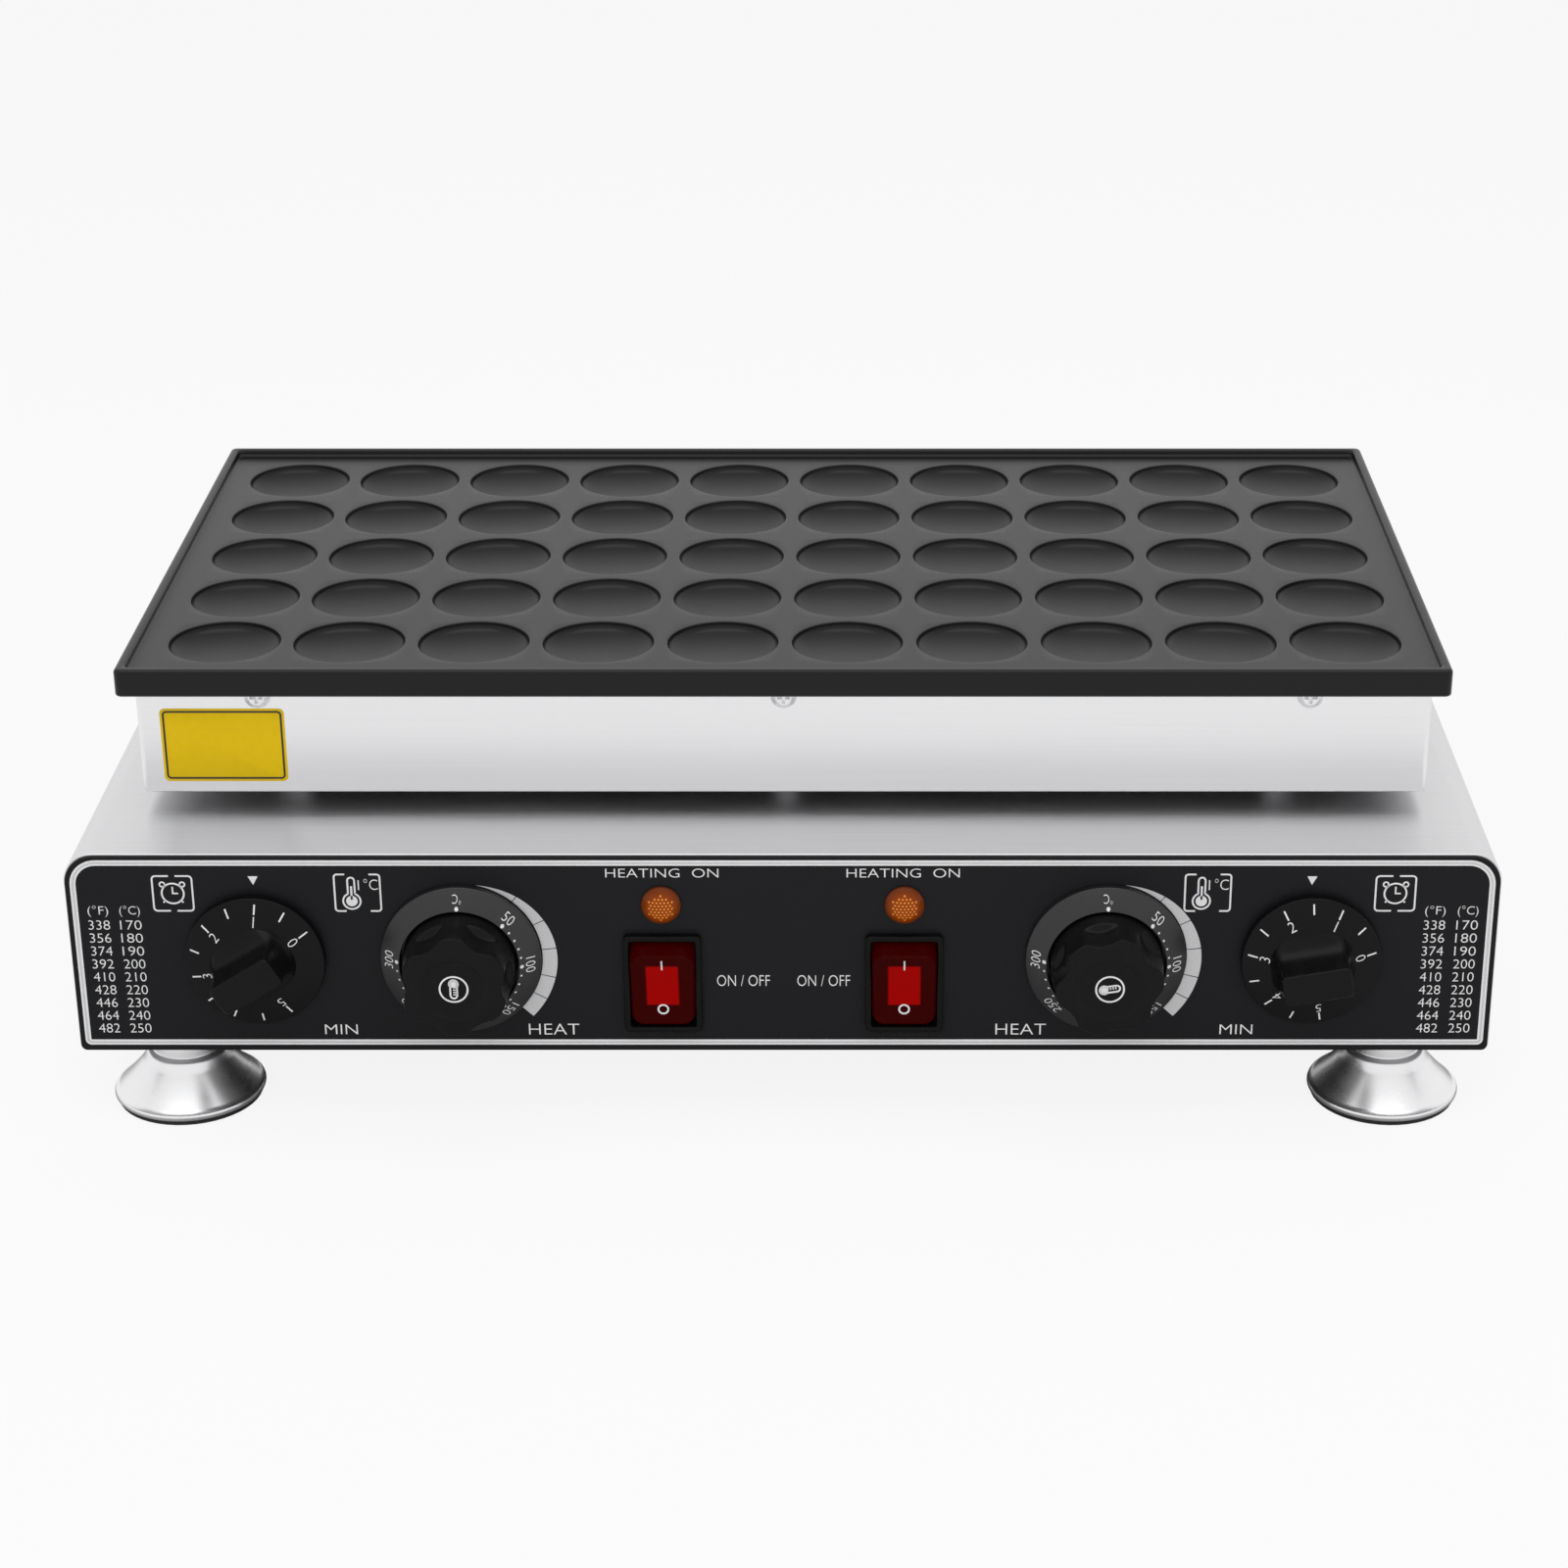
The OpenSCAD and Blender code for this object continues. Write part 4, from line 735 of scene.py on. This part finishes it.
def knob_points(steps=144):
    """The knob as rows of points about its axis: round behind, then drawn in to the hollows by a
    smooth step, tapered evenly towards a wavy, rounded edge on a cone, and inside that cone a flat
    face with a round dish."""
    angle = np.linspace(0.0, 2 * math.pi, steps, endpoint=False)
    outline = lobed(angle)
    front = outline - lobe_taper
    cone = knob_dome / (lobe_r - lobe_taper - knob_flat_r)
    brow = knob_out - cone * (front - knob_flat_r)
    edge_r = 0.6
    rows = [(0.0, knob_back), (knob_bore_r, knob_back), (knob_bore_r, knob_web), (knob_hollow_r, knob_web),
        (knob_hollow_r, knob_back), (knob_r, knob_back), (knob_r, knob_flange - knob_chamfer),
        (knob_r - knob_chamfer, knob_flange)]
    side_low, side_high = knob_flange + flange_step, brow - edge_r
    step_end = hollow_from + hollow_end / 2
    heights = [side_low] + list(np.linspace(hollow_from - hollow_end / 2, step_end, 9))
    heights += [step_end + t * (side_high - step_end) for t in (0.3, 0.65, 1.0)]
    for height in heights:
        share = np.clip((height - hollow_from) / hollow_end + 0.5, 0.0, 1.0)
        sunk = (lobe_r - outline) * share ** 2 * (3 - 2 * share)
        rows.append((lobe_r - sunk - lobe_taper * (height - side_low) / (side_high - side_low), height))
    rows += [(front - inset, brow - drop) for drop, inset in quarter(edge_r, 6)[1:-1]]
    start_r, start_h = rows[-1]
    rows += [(start_r + t * (knob_flat_r - start_r), start_h + t * (knob_out - start_h))
        for t in np.linspace(0.2, 1.0, 5)]
    rows += [(dish_r + dish_w * (1 - t), knob_out - dish_depth * (1 - math.cos(math.pi * t)) / 2)
        for t in np.linspace(0.1, 1.0, 9)]
    rows += [(dish_inner_r, knob_out - dish_depth), (0.0, knob_out - dish_depth)]
    return np.stack([np.stack(np.broadcast_arrays(r * np.sin(angle), r * np.cos(angle), h), 1)
        for r, h in rows])


def cap_picture():
    """The printed cap of a knob: a ring with a small thermometer in it."""
    bulb_angle = 50
    bulb_up = 2.3
    bulb_r = 1.7
    neck = bulb_r * math.sin(math.radians(bulb_angle))
    stem = np.vstack([arc((0.0, -2.6), neck, 180, 360, 8),
        arc((0.0, bulb_up), bulb_r, bulb_angle - 90, 270 - bulb_angle, 18)])
    levels = [stroke([(-0.2, y), (neck, y)], 0.45) for y in (-2.3, -1.3, -0.3, 0.7)]
    return [ring(5.4, line_bold), dot(0.0, bulb_up, 1.6), stroke(stem, line_bold, closed=True)] + levels


scale_pitch = 45.6
scale_r = 24.5
scale_figure_r = 27.7
big_dot_r = 0.75
small_dot_r = 0.4
scale_marks = []
for index in range(7):
    bearing = scale_pitch * index
    scale_marks.append(turn(lay(dot(0.0, scale_r, big_dot_r), ring_height), bearing))
    sign = turn(lettering("°C", 3.2, 3.4), 180.0) if index == 0 else lettering(str(50 * index), 3.5)
    scale_marks.append(turn(lay(shift(sign, 0.0, scale_figure_r), ring_height), bearing))
    if 0 < index < 6:
        scale_marks += [
            turn(lay(dot(0.0, scale_r, small_dot_r), ring_height), bearing + scale_pitch * step / 5)
            for step in (1, 2, 3, 4)]
for side, name, rest_turn in ((-1, "left", 180.0), (1, "right", 81.0)):
    make_piece(f"{name}_scale_ring_moulding",
        [on_panel(grid(turned(ring_profile, 128), around=True, loop=True), side * thermostat_x, dial_z)],
        ring_black, "chassis", [f"{name}_scale_ring"])
    make_piece(f"{name}_scale_figures",
        [on_panel(part, side * thermostat_x, dial_z) for part in scale_marks], white_ink, "chassis")
    make_piece(f"{name}_thermostat_knob_moulding",
        [on_panel(turn(grid(knob_points(), around=True), rest_turn), side * thermostat_x, dial_z)],
        knob_black, f"{name}_thermostat_knob", [f"{name}_thermostat_knob"])
    make_piece(f"{name}_thermostat_cap_print",
        [on_panel(turn(shift(part, 0.0, 0.0, knob_out - dish_depth), rest_turn + 180.0),
            side * thermostat_x, dial_z) for part in cap_picture()], white_ink,
        f"{name}_thermostat_knob")

# Switches: two lit red rocker switches that snap into the panel
# The frame and its case are black plastic; the rocker is clear red plastic over a glow lamp and
# tilts on two pins, its upper half standing out at rest.

switch_black = finish("switch_black", 0.003, 0.005, (0.24, 0.32), 900.0, 0.003, Specular_IOR_Level=0.1)
dress(switch_black, "switch_black")

opening_w = 25.8
opening_h = 37.6
frame_w = 2.4
frame_out = 3.0
frame_corner_r = 2.0
case_wall = 1.3
case_in = 26.0
case_floor = 2.0
case_corner_r = 1.0
pivot_in = 4.0
rocker_tilt = 10.0
rocker_face = frame_out + 2.2 + pivot_in
rocker_w = 25.2
rocker_sweep_r = opening_h / 2 - 0.3
rocker_face_half = 16.8
rocker_corner_r = 5.0
rocker_dish_r = 80.0
rocker_dish = 1.2
window_half = (6.3, 9.4)
window_up = 0.8
window_blur = 0.5
bar_from = 10.0
bar_to = 15.0
bar_w = 0.6
circle_up = -9.3
circle_r = 1.95
circle_w = 0.7


def lit_red(name, x):
    """Clear red plastic with a glow behind its middle: a soft-edged window in Object coordinates
    about x and the rocker's height blends from dark to bright red."""
    material = finish(name, (0.022, 0.0, 0.0), (0.03, 0.0, 0.0), (0.22, 0.28),
        400.0, 0.0, Specular_IOR_Level=0.03, Emission_Strength=1.0)
    tree = material.node_tree
    place = next(node for node in tree.nodes if node.type == "TEX_COORD")
    apart = tree.nodes.new("ShaderNodeSeparateXYZ")
    tree.links.new(place.outputs["Object"], apart.inputs[0])
    fades = []
    for axis, centre, half in zip("XZ", (x, switch_z + window_up), window_half):
        away = maths(tree, "ABSOLUTE", maths(tree, "SUBTRACT", apart.outputs[axis], centre * MM))
        fade = set_sockets(tree.nodes.new("ShaderNodeMapRange"), From_Min=(half + window_blur) * MM,
            From_Max=(half - window_blur) * MM)
        fade.interpolation_type = "SMOOTHSTEP"
        tree.links.new(away, fade.inputs["Value"])
        fades.append(fade.outputs[0])
    window = maths(tree, "MULTIPLY", *fades)
    glow = ramp(tree, window, (0.0, (0.014, 0.0, 0.0)), (1.0, (0.28, 0.0005, 0.0)))
    tree.links.new(glow, tree.nodes["Principled BSDF"].inputs["Emission Color"])
    return material


def frame_rows():
    """The switch's frame and case as loops: up the case, out under the frame, over its rounded edge
    and down the opening to the case's floor."""
    edge_r = 0.5
    rows = [(case_wall, case_corner_r, -case_in), (case_wall, case_corner_r, 0.0),
        (frame_w, frame_corner_r, 0.0)]
    rows += [(frame_w - inset, frame_corner_r, frame_out - drop) for drop, inset in quarter(edge_r, 4)]
    rows += [(outset, case_corner_r, frame_out - drop) for outset, drop in quarter(edge_r, 4)]
    rows += [(0.0, case_corner_r, case_floor - case_in)]
    return np.stack([np.insert(rounded_loop(opening_w / 2 + out, opening_h / 2 + out, corner), 2, rise,
        axis=1) for out, corner, rise in rows])


def rocker_dip(up):
    """The rocker's face over its pivot: a shallow hollow, lowest across its middle."""
    return rocker_face - rocker_dish + rocker_dish_r - np.sqrt(rocker_dish_r ** 2 - up ** 2)


def rocker_rows():
    """The rocker before its tilt: loops up its sides, on the circle that it turns in, then round its
    edge and in over the dished face."""
    edge_r = 1.8
    steps = (10, 16, 6)
    half_w = rocker_w / 2
    side_out = np.array([-5.0, 0.0, 3.0, 5.5])
    side_half = np.sqrt(rocker_sweep_r ** 2 - side_out ** 2)
    loops = [rounded_loop(half_w, half, rocker_corner_r, *steps) for half in side_half]
    rows = [np.insert(loop, 2, out, axis=1) for loop, out in zip(loops, side_out)]
    for drop, inset in quarter(edge_r, 7):
        edge = rounded_loop(half_w - inset, rocker_face_half - inset, rocker_corner_r - inset, *steps)
        rows.append(np.insert(edge, 2, rocker_dip(edge[:, 1]) - drop, axis=1))
    rows += [np.insert(edge * t, 2, rocker_dip(edge[:, 1] * t), axis=1) for t in np.linspace(0.92, 0.0, 12)]
    return np.stack(rows)


def tilt(patch, degrees):
    """Tilts a patch about the rocker's pivot, its upper half coming out."""
    points, faces = patch
    angle = math.radians(degrees)
    up = points[:, 1] * math.cos(angle) - points[:, 2] * math.sin(angle)
    out = points[:, 1] * math.sin(angle) + points[:, 2] * math.cos(angle) - pivot_in
    return np.stack([points[:, 0], up, out], 1), faces


def on_rocker(patch):
    """Lays a print on the rocker's hollow face."""
    points, faces = patch
    return np.stack([points[:, 0], points[:, 1], points[:, 2] + rocker_dip(points[:, 1])], 1), faces


spade_up = 9.0
spade_out = 9.0
spade_root = 0.5
spade_loop = rounded_loop(3.15, 0.4, 0.15)
for side, name in ((-1, "left"), (1, "right")):
    spades = [np.stack([np.insert(spade_loop + (0.0, up), 2, -case_in - out, axis=1)
        for out in (-spade_root, spade_out)]) for up in (-spade_up, spade_up)]
    case = [grid(part, around=True, cap=True) for part in [frame_rows()] + spades]
    make_piece(f"{name}_switch_frame", [on_panel(part, side * switch_x, switch_z) for part in case],
        switch_black, "chassis", [f"{name}_switch_housing"])
    rocker_red = lit_red(f"{name}_rocker_red", side * switch_x)
    make_piece(f"{name}_rocker_moulding",
        [on_panel(tilt(grid(rocker_rows(), around=True, cap=True), rocker_tilt), side * switch_x, switch_z)],
        rocker_red, f"{name}_rocker", [f"{name}_rocker"])
    signs = [stroke([(0.0, bar_from), (0.0, bar_to)], bar_w), ring(circle_r, circle_w, (0.0, circle_up))]
    make_piece(f"{name}_rocker_signs",
        [on_panel(tilt(on_rocker(sign), rocker_tilt), side * switch_x, switch_z) for sign in signs],
        white_ink, f"{name}_rocker")

# Lamps: two amber lenses over glow lamps
# Each lens is clear amber plastic, pushed into the panel from the front, darker towards its rim, with
# a field of small bright beads moulded in the middle of its face.

lamp_z = middle("right_lamp_lens")[2]
lens_r = half_size("right_lamp_lens")[0]
lens_out = front_y - corners("right_lamp_lens")[0][1]
lens_power = 2.6
lens_stem_r = 6.0
lens_stem = 9.0
lens_flange = 1.3
bead_r = 0.42
bead_h = 0.25
bead_pitch = 1.5
bead_field_r = 5.2


def lens_height(radius):
    """The lens over the panel: a low dome that falls away as a power of the radius."""
    return lens_flange + (lens_out - bead_h - lens_flange) * (1 - (radius / lens_r) ** lens_power)


def bead_centres():
    """Places of the beads: a triangular lattice, cut off at the edge of the bead field."""
    row, column = np.mgrid[-5:6, -5:6].reshape(2, -1)
    spots = bead_pitch * np.stack([column + 0.5 * (row % 2), row * math.sqrt(0.75)], 1)
    return spots[np.hypot(*spots.T) < bead_field_r]


lens_rows = np.linspace(1.0, 0.0, 24) * lens_r
lens_profile = np.vstack([[(0.0, -lens_stem), (lens_stem_r, -lens_stem), (lens_stem_r, 0.0),
    (lens_r, 0.0)], np.stack([lens_rows, lens_height(lens_rows)], 1)])
bead_bend = np.radians([0, 25, 50, 75, 90])
bead_profile = np.vstack([[(0.0, -0.1), (bead_r, -0.1)],
    np.stack([bead_r * np.cos(bead_bend), bead_h * np.sin(bead_bend)], 1)])
lens_amber = finish("lens_amber", (0.12, 0.022, 0.003), (0.15, 0.028, 0.004), (0.12, 0.18),
    500.0, 0.0, Specular_IOR_Level=0.1, Emission_Strength=1.0)
dress(lens_amber, "lens_amber")
lens_tree = lens_amber.node_tree
lens_share = lens_tree.nodes.new("ShaderNodeAttribute")
lens_share.attribute_name = "radius_share"
lens_glow = ramp(lens_tree, lens_share.outputs["Fac"], (0.55, (0.15, 0.024, 0.0)),
    (1.0, (0.02, 0.004, 0.001)))
lens_tree.links.new(lens_glow, lens_tree.nodes["Principled BSDF"].inputs["Emission Color"])
bead_amber = finish("bead_amber", (0.50, 0.17, 0.012), (0.60, 0.22, 0.02), (0.1, 0.16),
    800.0, 0.0, Emission_Strength=1.0, Emission_Color=(0.26, 0.08, 0.003, 1.0))
for side, name in ((-1, "left"), (1, "right")):
    lens = make_piece(f"{name}_lamp_lens_moulding",
        [on_panel(grid(turned(lens_profile), around=True), side * switch_x, lamp_z)], lens_amber,
        "chassis", [f"{name}_lamp_lens"])
    lens_x, _, lens_z = np.array([vertex.co for vertex in lens.data.vertices]).T / MM
    radius_share = np.hypot(lens_x - side * switch_x, lens_z - lamp_z) / lens_r
    lens.data.attributes.new("radius_share", "FLOAT", "POINT").data.foreach_set("value", radius_share)
    beads = [on_panel(lay(shift(grid(turned(bead_profile, 12), around=True), *spot), lens_height),
        side * switch_x, lamp_z) for spot in bead_centres()]
    make_piece(f"{name}_lamp_beads", beads, bead_amber, "chassis")

# Heater box: a tray of the same steel sheet, on spacers over the base
# Its walls are folded up from the floor; screws through its long sides hold the plate's lugs, and
# rubber grommets carry the leads through floor and hood.

dress(finish("grommet_rubber", 0.02, 0.04, (0.6, 0.75), 400.0, 0.04), "grommet_rubber")
# The box wears a lighter copy of the base's brushed steel: painted light that brightens its front.
box_steel_painted_light = finish("box_steel_painted_light", (0.83, 0.83, 0.84), (0.86, 0.86, 0.87), (0.3, 0.36),
    (10.0, 1800.0, 1800.0), 0.001, Metallic=1.0)

box_low, box_high = corners("heater_box")
box_half_x, box_half_y, _ = half_size("heater_box")
box_corner_r = 2.5
fold_r = 1.6


def offset_loops(rows, half_x, half_y, **steps):
    """Loops round a rectangle's outline, one for each row of inset, corner radius and height."""
    return np.stack([np.insert(rounded_loop(half_x - inset, half_y - inset, radius, **steps)
        + (0.0, mid_y), 2, height, axis=1) for inset, radius, height in rows])


floor_inset = 20.0
floor_corner_r = 0.6
tray_rows = [(floor_inset, floor_corner_r, box_low[2])]
tray_rows += [(inset, box_corner_r - inset, box_low[2] + rise) for inset, rise in quarter(fold_r, 7)]
tray_rows += [(0.0, box_corner_r, box_high[2]), (sheet_t, box_corner_r - sheet_t, box_high[2]),
    (sheet_t, box_corner_r - sheet_t, box_low[2] + sheet_t),
    (floor_inset, floor_corner_r, box_low[2] + sheet_t)]
make_piece("heater_box_tray",
    [grid(offset_loops(tray_rows, box_half_x, box_half_y, run_x=8, run_y=8), around=True, cap=True)],
    box_steel_painted_light, "chassis", ["heater_box"])

patch_w = 49.3
patch_h = 31.3
patch_x = -222.2
patch_z = box_low[2] + 20.9
patch_t = 0.15
patch_corner_r = 2.2
border_inset = 1.4
border_w = 0.8
yellow_film = finish("yellow_film", (0.90, 0.60, 0.0), (0.93, 0.63, 0.002), (0.4, 0.5),
    300.0, 0.0, Specular_IOR_Level=0.2)
dark_print = finish("dark_print", 0.012, 0.02, (0.4, 0.5), 500.0)
patch_place = (patch_x, patch_z, box_low[1])
film = np.stack([
    np.insert(rounded_loop(patch_w / 2 - inset, patch_h / 2 - inset, patch_corner_r), 2, out, axis=1)
    for inset, out in ((0.0, 0.0), (0.0, 0.7 * patch_t), (0.3 * patch_t, patch_t))])
blank_patch = make_piece("blank_patch", [on_panel(grid(film, around=True, cap=True), *patch_place)],
    yellow_film, "chassis")
# The deck below doesn't mirror the patch.
blank_patch.visible_glossy = False
border = stroke(rounded_loop(patch_w / 2 - border_inset, patch_h / 2 - border_inset, border_inset),
    border_w, closed=True)
make_piece("blank_patch_border", [on_panel(shift(border, 0.0, 0.0, patch_t), *patch_place)], dark_print,
    "chassis")

# Heating elements, insulation and sensors, inside the box
# Sheathed steel elements are clamped against the underside of the plate, over a board of pressed
# ceramic fibre; copper sensor tubes run down to the thermostats.

dress(finish("ceramic_fibre", (0.70, 0.68, 0.60), (0.86, 0.84, 0.77), (0.85, 0.95),
    180.0, 0.3), "ceramic_fibre")
dress(finish("element_steel", (0.13, 0.11, 0.10), (0.26, 0.24, 0.23), (0.4, 0.6),
    (60.0, 60.0, 200.0), 0.02, Metallic=1.0), "element_steel")
dress(finish("copper_tube", (0.52, 0.24, 0.13), (0.72, 0.42, 0.27), (0.25, 0.4),
    120.0, 0.01, Metallic=1.0), "copper_tube")

# Baking plate: one aluminium casting with a dark non-stick coating
# Fifty shallow moulds in ten columns and five rows, a raised rim round the edge and a thicker middle
# that sits inside the heater box.

nonstick = finish("nonstick_coating", (0.002, 0.002, 0.0024), (0.003, 0.003, 0.0035), (0.28, 0.33),
    900.0, 0.002, Specular_IOR_Level=0.27)
dress(nonstick, "nonstick_plate")

mould_columns = 10
mould_rows = 5
mould_pitch = 50.0
mould_r = 22.3
mould_depth = 6.0
mould_power = 2.6
lip_r = 0.5
rim_w = 4.0
rim_margin = 6.0
rim_foot_r = 1.6
rim_inner_r = 1.2
rim_outer_r = 1.6
skirt_edge_r = 0.8
plate_half_x, plate_half_y, _ = half_size("baking_plate")
plate_corner_r = 3.0
seat_h = 4.0
slab_z = box_high[2] - seat_h
skirt_t = 2.5
seat_inset = 8.0
core_inset = 12.7
core_t = 4.0
core_corner_r = 0.6
cell_steps = 48

# A mould is a superellipse dish: depth times (1 - share^n)^(1/n) at a share of its radius, below a
# rounded lip; the shares crowd together towards the steep wall.
dish_share = np.sin(np.linspace(0.0, math.pi / 2, 16))
dish = np.stack([mould_r * dish_share,
    -lip_r - (mould_depth - lip_r) * (1 - dish_share ** mould_power) ** (1 / mould_power)], 1)
mould_profile = np.vstack([dish, arc((mould_r + lip_r, -lip_r), lip_r, 180, 90, 5)[1:]])
cell_angle = np.arange(cell_steps) * 2 * math.pi / cell_steps
to_square = mould_pitch / 2 / np.maximum(np.abs(np.cos(cell_angle)), np.abs(np.sin(cell_angle)))
cell_radius = np.vstack([np.repeat(mould_profile[:, :1], cell_steps, 1),
    mould_r + lip_r + 0.5 * (to_square - mould_r - lip_r), to_square])
cell_height = np.append(mould_profile[:, 1], (0.0, 0.0))
cell = np.stack([cell_radius * np.cos(cell_angle), cell_radius * np.sin(cell_angle),
    np.repeat(cell_height[:, None], cell_steps, 1)], -1)
across = (np.arange(mould_columns) - (mould_columns - 1) / 2) * mould_pitch
along = mid_y + (np.arange(mould_rows) - (mould_rows - 1) / 2) * mould_pitch
plate = [grid(cell + (x, y, surface_z), around=True) for x in across for y in along]

cell_edge = mould_pitch / 2 * np.tan(np.radians(np.arange(-45, 45, 360 / cell_steps)))


def field_side(centres):
    """Points along one side of the field of moulds, where the cells end."""
    return (centres[:, None] + cell_edge[None, :]).ravel()


field_half_x = mould_columns * mould_pitch / 2
field_half_y = mould_rows * mould_pitch / 2
front_run = field_side(across)
right_run = field_side(along - mid_y)
field_half = np.vstack([np.stack([front_run, np.full(front_run.size, -field_half_y)], 1),
    np.stack([np.full(right_run.size, field_half_x), right_run], 1)])
field_loop = np.vstack([field_half, -field_half]) + (0.0, mid_y)

rim_top = surface_z + rim_h
rim_rows = [(rim_w + rim_margin, plate_corner_r, surface_z)]
rim_rows += [(rim_w + inset, plate_corner_r, surface_z + rise) for inset, rise in quarter(rim_foot_r, 6)]
rim_rows += [(rim_w - outset, plate_corner_r, rim_top - drop) for drop, outset in quarter(rim_inner_r, 6)]
rim_rows += [(inset, plate_corner_r - inset, rim_top - drop) for inset, drop in quarter(rim_outer_r, 7)]
rim_rows += [(inset, plate_corner_r - inset, slab_z + rise) for rise, inset in quarter(skirt_edge_r, 5)]
rim_rows += [(skirt_t, box_corner_r, slab_z), (skirt_t, box_corner_r, slab_z + seat_h),
    (seat_inset, box_corner_r - sheet_t, slab_z + seat_h), (seat_inset, box_corner_r - sheet_t, slab_z),
    (core_inset, core_corner_r, slab_z), (core_inset, core_corner_r, slab_z - core_t)]
bend_steps = 4
rim_loops = offset_loops(rim_rows, plate_half_x, plate_half_y, run_x=front_run.size - 2 * bend_steps,
    run_y=right_run.size - 2 * bend_steps, bend=bend_steps)
field_row = np.insert(field_loop, 2, surface_z, axis=1)[None]
edge_points, edge_faces = grid(np.vstack([field_row, rim_loops]), around=True, cap=True)
edge_faces.remove(list(range(len(field_loop))))
plate.append((edge_points, edge_faces))

lug_half = (10.0, 6.0)
lug_h = 12.0
lug_corner_r = 0.8
lug_root = 0.5
screw_head_r = 5.1
lug_x = corners("plate_screws")[1][0] - screw_head_r
lug_y = plate_half_y - seat_inset - lug_half[1]
for x in (-lug_x, 0.0, lug_x):
    for y in (mid_y - lug_y, mid_y + lug_y):
        lug = rounded_loop(*lug_half, lug_corner_r) + (x, y)
        plate.append(grid(np.stack([np.insert(lug, 2, z, axis=1)
            for z in (slab_z - lug_h, slab_z + lug_root)]), around=True, cap=True))
make_piece("baking_plate_casting", plate, nonstick, "chassis", ["baking_plate"])

# Mains entry and wiring, at the back and inside the base
# A nylon gland holds the cable in the rear wall; a moulded block, a brass earth stud and silicone
# leads join it to switches, timers and elements.

dress(finish("gland_nylon", 0.012, 0.025, (0.4, 0.5), 500.0, 0.02), "gland_nylon")
dress(finish("block_ivory", (0.66, 0.62, 0.50), (0.78, 0.74, 0.62), (0.4, 0.55), 200.0, 0.02),
    "block_ivory")
dress(finish("stud_brass", (0.60, 0.44, 0.16), (0.76, 0.60, 0.27), (0.2, 0.35), 250.0, 0.01,
    Metallic=1.0), "stud_brass")
dress(finish("lead_silicone", (0.28, 0.045, 0.035), (0.38, 0.08, 0.06), (0.5, 0.65), 300.0, 0.03),
    "lead_silicone")
